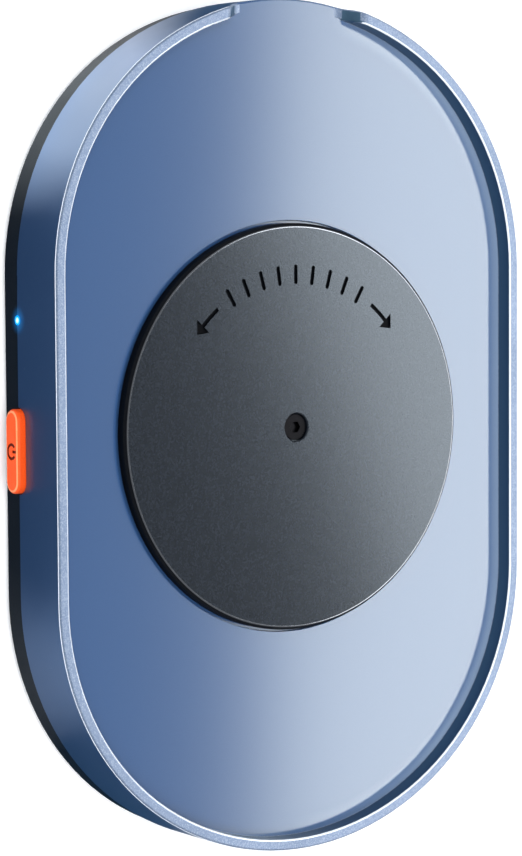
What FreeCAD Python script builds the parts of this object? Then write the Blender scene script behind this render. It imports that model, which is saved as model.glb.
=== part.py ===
"""Mouse jiggler: a slim obround case whose turntable slowly turns under an optical mouse.

Millimetres. The origin lies on the surface that the feet stand on, under the turntable's axis.
+Z is up, +Y points to the gap in the rim and -X to the side with the button and the lamp.
"""
import FreeCAD
import Part

import math
import os
import re

import Sketcher

os.makedirs("parts", exist_ok=True)
doc = FreeCAD.newDocument("mouse_jiggler")
sheet = doc.addObject("Spreadsheet::Sheet", "dims")

Vector = FreeCAD.Vector
UP = Vector(0, 0, 1)

# Driving sizes, grouped by the piece that they belong to
DRIVING = {
    # Case outline: straight sides, end arcs a little flatter than half rounds, and a blend between them
    "case_length": 125,
    "case_width": 83,
    "end_flatness": 2.3,
    "blend_tightness": 2.5,
    # Heights of the case, from the standing surface upward
    "foot_stand": 0.6,
    "base_height": 4.5,
    "top_height": 10.6,
    "bay_depth": 2.7,
    "plate_thickness": 1.8,
    "base_floor": 1.6,
    # Walls, the step at the parting line and the locating lip
    "rim_width": 1.7,
    "rim_chamfer": 0.25,
    "parting_step": 0.3,
    "lip_clearance": 0.15,
    "lip_width": 0.9,
    "lip_height": 1.2,
    "base_chamfer": 0.6,
    "rib_height": 1.2,
    "rib_thickness": 1,
    "overrun": 1,
    "edge_tolerance": 0.004,
    # Gap in the rim for the lead of the mouse
    "gap_foot_width": 17,
    "gap_top_width": 25.6,
    "gap_reach": 9,
    # Turntable disc, its well and its screw
    "disc_radius": 29.9,
    "disc_thickness": 2,
    "disc_chamfer": 0.5,
    "disc_float": 0.3,
    "well_depth": 0.6,
    "well_gap": 0.4,
    "recess_radius": 2.05,
    "recess_depth": 1.1,
    "tenon_radius": 3.4,
    "tenon_flat": 2.5,
    "tenon_height": 0.4,
    "disc_screw_head_radius": 1.9,
    "disc_screw_head": 0.7,
    "disc_screw_shank": 1,
    "disc_screw_length": 3.5,
    "socket_flats": 1.5,
    "socket_depth": 0.5,
    # Spindle bearing in the top case and the pin below it
    "hub_radius": 4,
    "running_clearance": 0.04,
    "bush_wall": 1,
    "bush_length": 3.2,
    "bearing_boss_wall": 2,
    "end_float": 0.3,
    "spindle_pin_radius": 1.25,
    "spindle_boss_radius": 3,
    "spindle_boss_height": 1.4,
    "washer_thickness": 0.3,
    "washer_radius": 2.7,
    "hub_float": 0.1,
    "pin_seat": 1,
    "pin_cover": 1.5,
    # Gear train: tooth module and face widths
    "tooth_module": 0.5,
    "backlash": 0.1,
    "turntable_face": 2.2,
    "lower_hub_radius": 3,
    "wheel_face": 1.4,
    "wheel_headroom": 0.6,
    "idler_float": 0.3,
    "idler_pin_radius": 0.75,
    "idler_boss_radius": 2.2,
    "idler_boss_height": 1.5,
    "idler_pin_socket": 0.7,
    "pin_end_gap": 0.1,
    "web_thickness": 1,
    "web_margin": 2.2,
    # Motor
    "can_radius": 9,
    "can_height": 5.8,
    "can_wall": 0.5,
    "flange_thickness": 0.8,
    "ear_across": 11.3,
    "ear_along": 5.3,
    "ear_radius": 3,
    "motor_bush_radius": 2.5,
    "motor_bush_rise": 0.2,
    "rotor_shaft_radius": 0.75,
    "rotor_radius": 5,
    "rotor_clearance": 0.4,
    "pinion_gap": 0.2,
    "pinion_face": 1.6,
    "coil_gap": 0.3,
    "terminal_width": 6,
    "terminal_depth": 2.4,
    "terminal_height": 2.6,
    # Countersunk case screws under the feet, their bosses, and the feet
    "boss_across": 27,
    "boss_along": 40,
    "boss_radius": 3.2,
    "screw_shank": 1,
    "screw_clearance": 0.1,
    "screw_head_radius": 1.9,
    "screw_head_edge": 0.1,
    "screw_reach": 5.5,
    "foot_radius": 5,
    # Small screws that hold the motor and the circuit board
    "small_screw_shank": 0.8,
    "small_screw_head_radius": 1.5,
    "small_screw_head": 0.8,
    "small_screw_length": 2.2,
    "small_post_radius": 2,
    # Circuit board and what it carries
    "board_thickness": 0.8,
    "board_rise": 0.5,
    "board_gap": 1.65,
    "board_low": 13,
    "board_right": 21,
    "board_cutout": 20.5,
    "board_boss_gap": 0.5,
    "board_screw_edge": 4.5,
    "chip_width": 6,
    "chip_height": 1,
    "chip_place": 36,
    "plug_place": 24.5,
    "plug_width": 6,
    "plug_depth": 3.4,
    "plug_height": 3,
    "ribbon_thickness": 0.6,
    "ribbon_width": 2,
    "ribbon_bend": 5.8,
    # Power switch, its button, the lamp and the socket
    "button_place": 2,
    "button_length": 12,
    "button_height": 3.5,
    "button_proud": 1.2,
    "button_clearance": 0.15,
    "button_flange": 0.8,
    "button_flange_lip": 0.6,
    "button_chamfer": 0.4,
    "button_travel": 0.4,
    "switch_width": 6,
    "switch_depth": 3.4,
    "switch_height": 3.2,
    "plunger_width": 1.2,
    "plunger_reach": 1,
    "plunger_entry": 0.5,
    "plunger_end_gap": 0.2,
    "lamp_place": 16.5,
    "lamp_radius": 0.7,
    "lamp_clearance": 0.05,
    "lamp_length": 3.5,
    "lamp_gap": 0.4,
    "led_width": 3,
    "led_depth": 1.4,
    "led_height": 2.4,
    "socket_width": 8.94,
    "socket_height": 3.2,
    "socket_length": 7.4,
    "socket_wall": 0.3,
    "socket_recess": 0.8,
    "socket_clearance": 0.2,
    "tongue_width": 6.6,
    "tongue_thickness": 0.7,
    "tongue_setback": 0.6,
}

# Counts, an angle in degrees, and shares of the tooth module or of a turn
COUNTS = {
    "turntable_teeth": 72,
    "idler_pinion_teeth": 14,
    "idler_wheel_teeth": 44,
    "motor_pinion_teeth": 12,
    "wheel_flank_runs": 1,
    "pinion_flank_runs": 2,
    "pressure_angle": 20,
    "tip_share": 1,
    "root_share": 1.25,
    "octagon_corner_share": 0.4142,
    "rib_count": 5,
    "rib_sweep": 180,
}

# Sizes worked out from those above, each from names that come before it
DERIVED = {
    "half_length": "case_length / 2",
    "half_width": "case_width / 2",
    "end_radius": "half_width + end_flatness",
    "blend_radius": "half_width - blend_tightness",
    "end_centre": "half_length - end_radius",
    "blend_span": "end_radius - blend_radius",
    "blend_rise": "sqrt(blend_span * blend_span - blend_tightness * blend_tightness)",
    "blend_along": "end_centre + blend_rise",
    "join_cos_share": "blend_tightness / blend_span",
    "join_sin_share": "blend_rise / blend_span",
    "parting": "foot_stand + base_height",
    "rim_top": "parting + top_height",
    "bay_floor": "rim_top - bay_depth",
    "plate_under": "bay_floor - plate_thickness",
    "base_inside": "foot_stand + base_floor",
    "lip_outer": "rim_width + lip_clearance",
    "lip_inner": "lip_outer + lip_width",
    "gap_foot": "gap_foot_width / 2",
    "gap_top": "gap_top_width / 2",
    "gap_run": "gap_top - gap_foot",
    "gap_radius": "(gap_run * gap_run + bay_depth * bay_depth) / (4 * bay_depth)",
    "well_radius": "disc_radius + well_gap",
    "well_floor": "bay_floor - well_depth",
    "disc_under": "well_floor + disc_float",
    "disc_top": "disc_under + disc_thickness",
    "recess_floor": "disc_top - recess_depth",
    "disc_screw_top": "recess_floor + disc_screw_head",
    "disc_screw_low": "recess_floor - disc_screw_length",
    "bush_bore": "hub_radius + running_clearance",
    "bush_radius": "bush_bore + bush_wall",
    "bush_low": "well_floor - bush_length",
    "bearing_boss": "bush_radius + bearing_boss_wall",
    "rib_low": "plate_under - rib_height",
    "turntable_gear_top": "bush_low - end_float",
    "turntable_gear_low": "turntable_gear_top - turntable_face",
    "spindle_boss_top": "base_inside + spindle_boss_height",
    "washer_top": "spindle_boss_top + washer_thickness",
    "hub_low": "washer_top + hub_float",
    "pin_foot": "base_inside - pin_seat",
    "spindle_pin_top": "disc_screw_low - pin_cover",
    "turntable_pitch": "tooth_module * turntable_teeth / 2",
    "idler_pinion_pitch": "tooth_module * idler_pinion_teeth / 2",
    "idler_wheel_pitch": "tooth_module * idler_wheel_teeth / 2",
    "motor_pinion_pitch": "tooth_module * motor_pinion_teeth / 2",
    "idler_place": "turntable_pitch + idler_pinion_pitch",
    "motor_place": "idler_place + idler_wheel_pitch + motor_pinion_pitch",
    "wheel_top": "plate_under - wheel_headroom",
    "wheel_low": "wheel_top - wheel_face",
    "idler_boss_top": "base_inside + idler_boss_height",
    "idler_low": "idler_boss_top + idler_float",
    "idler_pinion_low": "turntable_gear_low - idler_float",
    "idler_pin_bore": "idler_pin_radius + running_clearance",
    "idler_pin_top": "plate_under + idler_pin_socket - pin_end_gap",
    "can_top": "base_inside + can_height",
    "can_inside": "can_radius - can_wall",
    "flange_top": "can_top + flange_thickness",
    "motor_bush_top": "flange_top + motor_bush_rise",
    "motor_bush_bore": "rotor_shaft_radius + running_clearance",
    "pinion_low": "motor_bush_top + pinion_gap",
    "pinion_top": "pinion_low + pinion_face",
    "ear_reach": "sqrt(ear_across * ear_across + ear_along * ear_along)",
    "ear_cos_share": "ear_across / ear_reach",
    "ear_sin_share": "ear_along / ear_reach",
    "ear_aside": "ear_radius * ear_sin_share",
    "ear_beside": "ear_radius * ear_cos_share",
    "coil_outer": "can_inside - coil_gap",
    "coil_inner": "rotor_radius + rotor_clearance",
    "coil_low": "base_inside + can_wall",
    "rotor_low": "coil_low + rotor_clearance",
    "rotor_top": "can_top - rotor_clearance",
    "screw_sink": "screw_head_radius - screw_shank",
    "board_under": "base_inside + board_rise",
    "board_top": "board_under + board_thickness",
    "board_inset": "lip_inner + board_gap",
    "board_screw_left": "half_width - board_inset - board_screw_edge",
    "board_screw_low": "board_low - board_screw_edge",
    "board_screw_right": "board_right - board_screw_edge",
    "board_screw_high": "board_cutout + board_screw_edge",
    "terminal_middle": "board_top + plug_height / 2",
    "ribbon_half": "ribbon_thickness / 2",
    "ribbon_turn": "plug_place - ribbon_bend",
    "button_face": "half_width + button_proud",
    "button_half": "button_length / 2",
    "button_round": "button_height / 2",
    "button_back": "half_width - lip_inner - button_clearance",
    "button_inner": "button_back - button_flange",
    "switch_front": "button_inner - plunger_reach",
    "led_front": "half_width - lamp_length - lamp_gap",
    "socket_middle": "board_top + socket_height / 2",
    "socket_mouth": "half_length - socket_recess",
    "socket_round": "socket_height / 2",
    "socket_half": "socket_width / 2",
}


def fill_sheet():
    """Give each size a cell with its name as alias; a derived cell holds its formula."""
    derived = {name: "=" + formula for name, formula in DERIVED.items()}
    cells = {**DRIVING, **COUNTS, **derived}
    for row, (name, content) in enumerate(cells.items(), 1):
        sheet.set(f"A{row}", str(content))
        sheet.setAlias(f"A{row}", name)
    doc.recompute()


def bound(text):
    """The expression with each size name pointed at its cell."""
    return re.sub(r"\b[a-z]\w+\b(?!\()", lambda found: "dims." + found.group(), text)


def size(text):
    """The value of an expression in size names."""
    return float(sheet.evalExpression(text))


def new_body(label):
    body = doc.addObject("PartDesign::Body", label)
    body.Label = label
    return body


def new_sketch(body, name, offset="0", role="XY_Plane"):
    """A sketch on one of the body's own planes, moved along its normal."""
    sketch = body.newObject("Sketcher::SketchObject", name)
    plane = next(item for item in body.Origin.OriginFeatures if item.Role == role)
    sketch.AttachmentSupport = [(plane, "")]
    sketch.MapMode = "FlatFace"
    sketch.setExpression("AttachmentOffset.Base.z", bound(offset))
    return sketch


def constrain(sketch, kind, text, *places):
    """A dimension on the sketch's geometry, tied to an expression."""
    number = sketch.addConstraint(Sketcher.Constraint(kind, *places, size(text)))
    sketch.setExpression(f"Constraints[{number}]", bound(text))


def pin_point(sketch, geometry, point, across, along):
    """Tie one point of the geometry to a place measured from the sketch's origin."""
    constrain(sketch, "DistanceX", across, -1, 1, geometry, point)
    constrain(sketch, "DistanceY", along, -1, 1, geometry, point)


def circle(sketch, radius, across="0", along="0"):
    middle = Vector(size(across), size(along), 0)
    number = sketch.addGeometry(Part.Circle(middle, UP, size(radius)), False)
    pin_point(sketch, number, 3, across, along)
    constrain(sketch, "Radius", radius, number)


def profile(sketch, corners):
    """A closed outline, counter-clockwise from corner to corner.

    Each corner is (across, along, bend): bend is "" for a straight edge to the next corner,
    a radius for an arc that bulges outward, or a radius after "-" for one that bulges inward.
    """
    places = [Vector(size(across), size(along), 0) for across, along, bend in corners]
    numbers = []
    ends = []
    for start, end, corner in zip(places, places[1:] + places[:1], corners):
        bend = corner[2]
        if not bend:
            numbers.append(sketch.addGeometry(Part.LineSegment(start, end), False))
            ends.append((1, 2))
            continue
        inward = bend.startswith("-")
        arc = arc_between(start, end, size(bend.lstrip("-")), inward)
        numbers.append(sketch.addGeometry(arc, False))
        ends.append((2, 1) if inward else (1, 2))
    for index, (across, along, bend) in enumerate(corners):
        following = (index + 1) % len(corners)
        sketch.addConstraint(Sketcher.Constraint("Coincident", numbers[index], ends[index][1],
                                                 numbers[following], ends[following][0]))
        pin_point(sketch, numbers[index], ends[index][0], across, along)
        if bend:
            constrain(sketch, "Radius", bend.lstrip("-"), numbers[index])


def arc_between(start, end, radius, inward):
    """The short arc from start to end, whose middle lies left of the way unless it bulges inward."""
    chord = end - start
    side = Vector(-chord.y, chord.x, 0).normalize()
    drop = math.sqrt(max(radius * radius - chord.Length * chord.Length / 4, 0))
    middle = (start + end) / 2 + side * (-drop if inward else drop)
    first, last = (end, start) if inward else (start, end)
    turn_start = math.atan2(first.y - middle.y, first.x - middle.x)
    turn_end = math.atan2(last.y - middle.y, last.x - middle.x)
    return Part.ArcOfCircle(Part.Circle(middle, UP, radius), turn_start, turn_end)


def rectangle(sketch, left, right, low, high):
    profile(sketch, [(left, low, ""), (right, low, ""), (right, high, ""), (left, high, "")])


def obround(sketch, across, along, half, rounding):
    """A slot shape that is long in the sketch's first direction."""
    right = f"{across} + {half} - ({rounding})"
    left = f"{across} - {half} + {rounding}"
    low = f"{along} - ({rounding})"
    high = f"{along} + {rounding}"
    profile(sketch, [(left, low, ""), (right, low, rounding), (f"{across} + {half}", along, rounding),
                     (right, high, ""), (left, high, rounding), (f"{across} - {half}", along, rounding)])


def case_outline(sketch, inset="0"):
    """The case's outline, drawn in by the inset all round."""
    side = f"half_width - ({inset})"
    blend = f"blend_radius - ({inset})"
    end = f"end_radius - ({inset})"
    join_across = f"({end}) * join_cos_share"
    join_along = f"end_centre + ({end}) * join_sin_share"
    profile(sketch, [
        (side, "-blend_along", ""),
        (side, "blend_along", blend),
        (join_across, join_along, end),
        (f"-({join_across})", join_along, blend),
        (f"-({side})", "blend_along", ""),
        (f"-({side})", "-blend_along", blend),
        (f"-({join_across})", f"-({join_along})", end),
        (join_across, f"-({join_along})", blend),
    ])


def pad(body, sketch, length):
    feature = body.newObject("PartDesign::Pad", sketch.Name + "_pad")
    feature.Profile = sketch
    feature.setExpression("Length", bound(length))
    body.Tip = feature
    doc.recompute()
    return feature


def pocket(body, sketch, length, along_normal=False):
    """Cut the sketch's shape against its normal, or along it, and check that it cuts."""
    before = body.Shape.Volume
    feature = body.newObject("PartDesign::Pocket", sketch.Name + "_pocket")
    feature.Profile = sketch
    feature.setExpression("Length", bound(length))
    feature.Reversed = along_normal
    body.Tip = feature
    doc.recompute()
    if not body.Shape.Volume < before:
        raise ValueError(sketch.Name + " cuts nothing")


def chamfer(body, name, length, keep):
    """Chamfer the edges for which keep(edge) is true."""
    base = body.Tip
    edges = [f"Edge{number}" for number, edge in enumerate(base.Shape.Edges, 1) if keep(edge)]
    if not edges:
        raise ValueError(name + " finds no edge")
    feature = body.newObject("PartDesign::Chamfer", name)
    feature.Base = (base, edges)
    feature.setExpression("Size", bound(length))
    body.Tip = feature
    doc.recompute()


def at_height(edge, height):
    """Whether the whole edge lies level at the given height."""
    box = edge.BoundBox
    return max(abs(box.ZMin - size(height)), abs(box.ZMax - size(height))) < size("edge_tolerance")


def turned(label, corners, across="0", along="0"):
    """A piece turned about an upright axis from a half section of (radius, height) corners."""
    body = new_body(label)
    section = new_sketch(body, label + "_section", role="XZ_Plane")
    profile(section, [(radius, height, "") for radius, height in corners])
    feature = body.newObject("PartDesign::Revolution", label + "_revolution")
    feature.Profile = section
    feature.ReferenceAxis = (section, ["V_Axis"])
    feature.Angle = 360
    body.Tip = feature
    body.setExpression("Placement.Base.x", bound(across))
    body.setExpression("Placement.Base.y", bound(along))
    doc.recompute()
    return body


def ring(label, inner, outer, low, high, across="0", along="0"):
    """A turned ring, or a plain round pin where the inner radius is zero."""
    corners = [(inner, low), (outer, low), (outer, high), (inner, high)]
    return turned(label, corners, across, along)


def block(label, left, right, low, high, under, height):
    """A plain block with its sketch on the level plane."""
    body = new_body(label)
    sketch = new_sketch(body, label + "_plan", under)
    rectangle(sketch, left, right, low, high)
    pad(body, sketch, height)
    return body


def octagons_at(sketch, reach, places):
    """Octagons at the places; reach is the distance from the middle to a side."""
    corner = f"({reach}) * octagon_corner_share"
    reach = f"({reach})"
    around = [(reach, f"-{corner}"), (reach, corner), (corner, reach), (f"-{corner}", reach),
              (f"-{reach}", corner), (f"-{reach}", f"-{corner}"), (f"-{corner}", f"-{reach}"),
              (corner, f"-{reach}")]
    for across, along in places:
        profile(sketch, [(f"{across} + {aside}", f"{along} + {ahead}", "") for aside, ahead in around])


# Places that a screw and its boss, post, hole or foot share
BOSS_PLACES = [(side + "boss_across", end + "boss_along") for side in ("-", "") for end in ("-", "")]
EAR_PLACES = [("-ear_across", "-motor_place - ear_along"), ("ear_across", "-motor_place + ear_along")]
BOARD_SCREW_PLACES = [("-board_screw_left", "-board_screw_low"), ("board_screw_right", "board_screw_high")]


# Openings through the wall, shared by both halves of the case
def cut_wall_openings(body):
    wall = "lip_inner + overrun * 2"
    button = new_sketch(body, body.Label + "_button_hole", "-half_width - overrun", "YZ_Plane")
    obround(button, "-button_place", "parting", "(button_half + button_clearance)",
            "button_round + button_clearance")
    pocket(body, button, wall, True)
    lamp = new_sketch(body, body.Label + "_lamp_hole", "-half_width - overrun", "YZ_Plane")
    circle(lamp, "lamp_radius + lamp_clearance", "lamp_place", "parting")
    pocket(body, lamp, wall, True)
    socket = new_sketch(body, body.Label + "_socket_hole", "-half_length - overrun", "XZ_Plane")
    obround(socket, "0", "socket_middle", "(socket_half + socket_clearance)",
            "socket_round + socket_clearance")
    pocket(body, socket, wall, True)


# Top case: side wall, rim, bay floor, well, bearing boss, ribs and screw bosses
def make_top_case():
    body = new_body("top_case")
    shell = new_sketch(body, "top_shell", "parting")
    case_outline(shell)
    pad(body, shell, "top_height")
    bay = new_sketch(body, "mouse_bay", "rim_top")
    case_outline(bay, "rim_width")
    pocket(body, bay, "bay_depth")
    inside = new_sketch(body, "top_inside", "parting")
    case_outline(inside, "rim_width")
    pocket(body, inside, "plate_under - parting", True)
    cut_rim_gap(body)
    chamfer(body, "rim_edges", "rim_chamfer", lambda edge: at_height(edge, "rim_top"))
    well = new_sketch(body, "disc_well", "bay_floor")
    circle(well, "well_radius")
    pocket(body, well, "well_depth")
    add_ribs(body)
    bearing = new_sketch(body, "bearing_boss", "bush_low")
    circle(bearing, "bearing_boss")
    pad(body, bearing, "plate_under - bush_low")
    bosses = new_sketch(body, "screw_bosses", "base_inside")
    octagons_at(bosses, "boss_radius", BOSS_PLACES)
    pad(body, bosses, "plate_under - base_inside")
    bore = new_sketch(body, "bush_seat", "well_floor")
    circle(bore, "bush_radius")
    pocket(body, bore, "bush_length")
    pilots = new_sketch(body, "screw_pilots", "base_inside")
    octagons_at(pilots, "screw_shank", BOSS_PLACES)
    pocket(body, pilots, "screw_reach + screw_clearance", True)
    pin_hole = new_sketch(body, "idler_pin_socket", "plate_under")
    circle(pin_hole, "idler_pin_bore", "0", "-idler_place")
    pocket(body, pin_hole, "idler_pin_socket", True)
    cut_wall_openings(body)


def cut_rim_gap(body):
    """The gap with its two soft shoulders, cut through the rim at one end."""
    gap = new_sketch(body, "rim_gap", "-(half_length - gap_reach)", "XZ_Plane")
    shoulder = "(gap_foot + gap_top) / 2"
    half_rise = "bay_floor + bay_depth / 2"
    over = "rim_top + overrun"
    profile(gap, [
        ("-gap_foot", "bay_floor", ""),
        ("gap_foot", "bay_floor", "gap_radius"),
        (shoulder, half_rise, "-gap_radius"),
        ("gap_top", "rim_top", ""),
        ("gap_top", over, ""),
        ("-gap_top", over, ""),
        ("-gap_top", "rim_top", "-gap_radius"),
        ("-" + shoulder, half_rise, "gap_radius"),
    ])
    pocket(body, gap, "gap_reach + overrun")


def add_ribs(body):
    """Stiffening ribs under the plate, from the bearing boss out over the half that has no gears."""
    half = "rib_thickness / 2"
    ribs = new_sketch(body, "plate_ribs", "rib_low")
    rectangle(ribs, "bush_radius", "disc_radius", "-" + half, half)
    rib = pad(body, ribs, "rib_height")
    pattern = body.newObject("PartDesign::PolarPattern", "rib_pattern")
    pattern.Originals = [rib]
    pattern.Axis = (ribs, ["N_Axis"])
    pattern.setExpression("Angle", bound("rib_sweep"))
    pattern.setExpression("Occurrences", bound("rib_count"))
    body.Tip = pattern
    doc.recompute()


# Bottom case: tray with a locating lip, posts, pin bosses and countersunk screw holes
def make_bottom_case():
    body = new_body("bottom_case")
    tray = new_sketch(body, "base_shell", "foot_stand")
    case_outline(tray, "parting_step")
    pad(body, tray, "base_height")
    chamfer(body, "base_edge", "base_chamfer", lambda edge: at_height(edge, "foot_stand"))
    lip = new_sketch(body, "locating_lip", "parting")
    case_outline(lip, "lip_outer")
    pad(body, lip, "lip_height")
    inside = new_sketch(body, "base_hollow", "parting + lip_height")
    case_outline(inside, "lip_inner")
    pocket(body, inside, "parting + lip_height - base_inside")
    add_posts(body)
    holes = new_sketch(body, "screw_holes", "foot_stand")
    octagons_at(holes, "screw_shank + screw_clearance", BOSS_PLACES)
    pocket(body, holes, "base_floor", True)
    widest = size("screw_head_radius")
    chamfer(body, "screw_sinks", "screw_sink",
            lambda edge: at_height(edge, "foot_stand") and edge.Length < widest)
    cut_wall_openings(body)


def add_posts(body):
    """Bosses for the two pins, and posts for the motor's ears and the circuit board."""
    pieces = (
        ("spindle_boss", "spindle_boss_radius", "spindle_pin_radius", [("0", "0")],
         "spindle_boss_height", "spindle_boss_height + pin_seat"),
        ("idler_boss", "idler_boss_radius", "idler_pin_radius", [("0", "-idler_place")],
         "idler_boss_height", "idler_boss_height + pin_seat"),
        ("motor_posts", "small_post_radius", "small_screw_shank", EAR_PLACES,
         "can_height", "small_screw_length - flange_thickness"),
        ("board_stands", "small_post_radius", "small_screw_shank", BOARD_SCREW_PLACES,
         "board_rise", "small_screw_length - board_thickness"),
    )
    for name, radius, hole, places, height, depth in pieces:
        plan = new_sketch(body, name, "base_inside")
        octagons_at(plan, radius, places)
        pad(body, plan, height)
        holes = new_sketch(body, name + "_holes", "base_inside + " + height)
        octagons_at(holes, hole, places)
        pocket(body, holes, depth)


# Turntable disc: chamfered rim, sunk screw seat, and a socket for the key on the hub
def make_disc():
    body = new_body("turntable_disc")
    plan = new_sketch(body, "disc_plan", "disc_under")
    circle(plan, "disc_radius")
    pad(body, plan, "disc_thickness")
    chamfer(body, "disc_edge", "disc_chamfer", lambda edge: at_height(edge, "disc_top"))
    recess = new_sketch(body, "disc_screw_seat", "disc_top")
    circle(recess, "recess_radius")
    pocket(body, recess, "recess_depth")
    hole = new_sketch(body, "disc_screw_hole", "recess_floor")
    circle(hole, "disc_screw_shank + screw_clearance")
    pocket(body, hole, "disc_thickness")
    key = new_sketch(body, "key_socket", "disc_under")
    flatted_round(key, "(tenon_radius + running_clearance)", "(tenon_flat + running_clearance)")
    pocket(body, key, "tenon_height + running_clearance", True)


def flatted_round(sketch, radius, flat):
    """A circle with two flats, the section of the key between hub and disc."""
    reach = f"sqrt({radius} ^ 2 - {flat} ^ 2)"
    profile(sketch, [("-" + reach, "-" + flat, ""), (reach, "-" + flat, radius),
                     (reach, flat, ""), ("-" + reach, flat, radius)])


# Screw of the disc: the one that shows, with a hexagon sunk in its head
def make_disc_screw():
    body = turned("disc_screw", [
        ("0", "disc_screw_low"), ("disc_screw_shank", "disc_screw_low"), ("disc_screw_shank", "recess_floor"),
        ("disc_screw_head_radius", "recess_floor"), ("disc_screw_head_radius", "disc_screw_top"),
        ("0", "disc_screw_top")])
    socket = new_sketch(body, "hexagon_socket", "disc_screw_top")
    flat = "socket_flats / 2"
    point = "socket_flats / sqrt(3)"
    profile(socket, [(point, "0", ""), (f"{point} / 2", flat, ""), (f"-{point} / 2", flat, ""),
                     (f"-{point}", "0", ""), (f"-{point} / 2", f"-{flat}", ""),
                     (f"{point} / 2", f"-{flat}", "")])
    pocket(body, socket, "socket_depth")


# Hidden screws: the motor's and the board's, and the case's, whose cones fill their sinks
def make_small_screws():
    sets = (("motor_screws", "flange_top", EAR_PLACES), ("board_screws", "board_top", BOARD_SCREW_PLACES))
    for label, seat, places in sets:
        body = new_body(label)
        shanks = new_sketch(body, label + "_shanks", seat + " - small_screw_length")
        octagons_at(shanks, "small_screw_shank", places)
        pad(body, shanks, "small_screw_length")
        heads = new_sketch(body, label + "_heads", seat)
        octagons_at(heads, "small_screw_head_radius", places)
        pad(body, heads, "small_screw_head")


def make_case_screws():
    body = new_body("case_screws")
    heads = new_sketch(body, "case_screw_heads", "foot_stand")
    octagons_at(heads, "screw_head_radius", BOSS_PLACES)
    pad(body, heads, "screw_head_edge + screw_sink")
    chamfer(body, "case_screw_cones", "screw_sink",
            lambda edge: at_height(edge, "foot_stand + screw_head_edge + screw_sink"))
    shanks = new_sketch(body, "case_screw_shanks", "foot_stand")
    octagons_at(shanks, "screw_shank", BOSS_PLACES)
    pad(body, shanks, "base_floor + screw_reach")


# Feet: four discs stuck over the heads of the case screws
def make_feet():
    body = new_body("rubber_feet")
    plan = new_sketch(body, "feet_plan")
    for across, along in BOSS_PLACES:
        circle(plan, "foot_radius", across, along)
    pad(body, plan, "foot_stand")


# Gears: each flank is a few straight runs between points of its involute
def polar(radius, angle):
    return Vector(radius * math.cos(angle), radius * math.sin(angle), 0)


def involute_point(base_radius, reach, turn):
    """The point of the involute at a given radius, turned about the gear's axis."""
    roll = math.sqrt(max(reach * reach / (base_radius * base_radius) - 1, 0))
    return polar(reach, roll - math.atan(roll) + turn)


def mirror_about(point, angle):
    """The point reflected in the line through the axis at the given angle."""
    return polar(point.Length, 2 * angle - math.atan2(point.y, point.x))


def toothed_blank(teeth, runs, low, height, turn):
    """A spur gear's toothed blank, with its first tooth's middle at the given turn."""
    module = size("tooth_module")
    pitch = module * teeth / 2
    pressure = math.radians(size("pressure_angle"))
    base_radius = pitch * math.cos(pressure)
    tip = pitch + module * size("tip_share")
    root = pitch - module * size("root_share")
    foot = max(root, base_radius)
    half_tooth = (math.pi * module / 2 - size("backlash")) / (2 * pitch)
    spread = half_tooth + math.tan(pressure) - pressure
    reaches = [foot + (tip - foot) * run / runs for run in range(runs + 1)]
    points = []
    for tooth in range(teeth):
        middle = turn + 2 * math.pi * tooth / teeth
        flank = [involute_point(base_radius, reach, middle - spread) for reach in reaches]
        if root < base_radius:
            flank.insert(0, flank[0] * (root / base_radius))
        points += flank + [mirror_about(point, middle) for point in reversed(flank)]
    outline = Part.makePolygon(points + points[:1])
    return Part.Face(outline).extrude(UP * height).translated(UP * low)


def mesh_turn(teeth, partner_teeth, partner_turn, direction):
    """The turn that puts a space of this gear on the partner's tooth.

    Direction is the angle from this gear's axis to its partner's.
    """
    share = ((direction + math.pi - partner_turn) * partner_teeth / (2 * math.pi)) % 1
    return direction + (1 / 2 + share) * 2 * math.pi / teeth


def rod(radius, low, high):
    return Part.makeCylinder(size(radius), size(high) - size(low), Vector(0, 0, size(low)))


def gear_node(label, shape, along="0"):
    node = doc.addObject("Part::Feature", label)
    node.Label = label
    node.Shape = shape.removeSplitter()
    node.Placement = FreeCAD.Placement(Vector(0, size(along), 0), FreeCAD.Rotation())


def tenon():
    """The two-flatted key on top of the hub."""
    corner = Vector(-size("tenon_radius"), -size("tenon_flat"), size("disc_under"))
    slab = Part.makeBox(-2 * corner.x, -2 * corner.y, size("tenon_height"), corner)
    return rod("tenon_radius", "disc_under", "disc_under + tenon_height").common(slab)


def make_turntable_gear():
    """The large gear, dished from below, with its bearing hub, pin hub and key."""
    shape = toothed_blank(int(size("turntable_teeth")), int(size("wheel_flank_runs")),
                          size("turntable_gear_low"), size("turntable_face"), -math.pi / 2)
    web_low = "turntable_gear_top - web_thickness"
    shape = shape.cut(rod("turntable_pitch - web_margin", "turntable_gear_low", web_low))
    shape = shape.fuse(rod("hub_radius", "turntable_gear_top", "disc_under"))
    shape = shape.fuse(rod("lower_hub_radius", "hub_low", web_low))
    shape = shape.fuse(tenon())
    shape = shape.cut(rod("spindle_pin_radius + running_clearance", "hub_low", "spindle_pin_top + end_float"))
    thread = rod("disc_screw_shank", "disc_screw_low", "disc_under + tenon_height")
    gear_node("turntable_gear", shape.cut(thread))


def make_idler():
    """Compound idler: a large wheel over a small pinion, on one bore."""
    teeth = int(size("idler_pinion_teeth"))
    turn = mesh_turn(teeth, int(size("turntable_teeth")), -math.pi / 2, math.pi / 2)
    shape = toothed_blank(teeth, int(size("pinion_flank_runs")), size("idler_pinion_low"),
                          size("wheel_low - idler_pinion_low"), turn)
    wheel = toothed_blank(int(size("idler_wheel_teeth")), int(size("wheel_flank_runs")),
                          size("wheel_low"), size("wheel_face"), 0)
    shank = rod("idler_pinion_pitch - tooth_module * root_share", "idler_low", "idler_pinion_low")
    shape = shape.fuse(wheel).fuse(shank).cut(rod("idler_pin_bore", "idler_low", "wheel_top"))
    gear_node("idler_gear", shape, "-idler_place")


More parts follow.
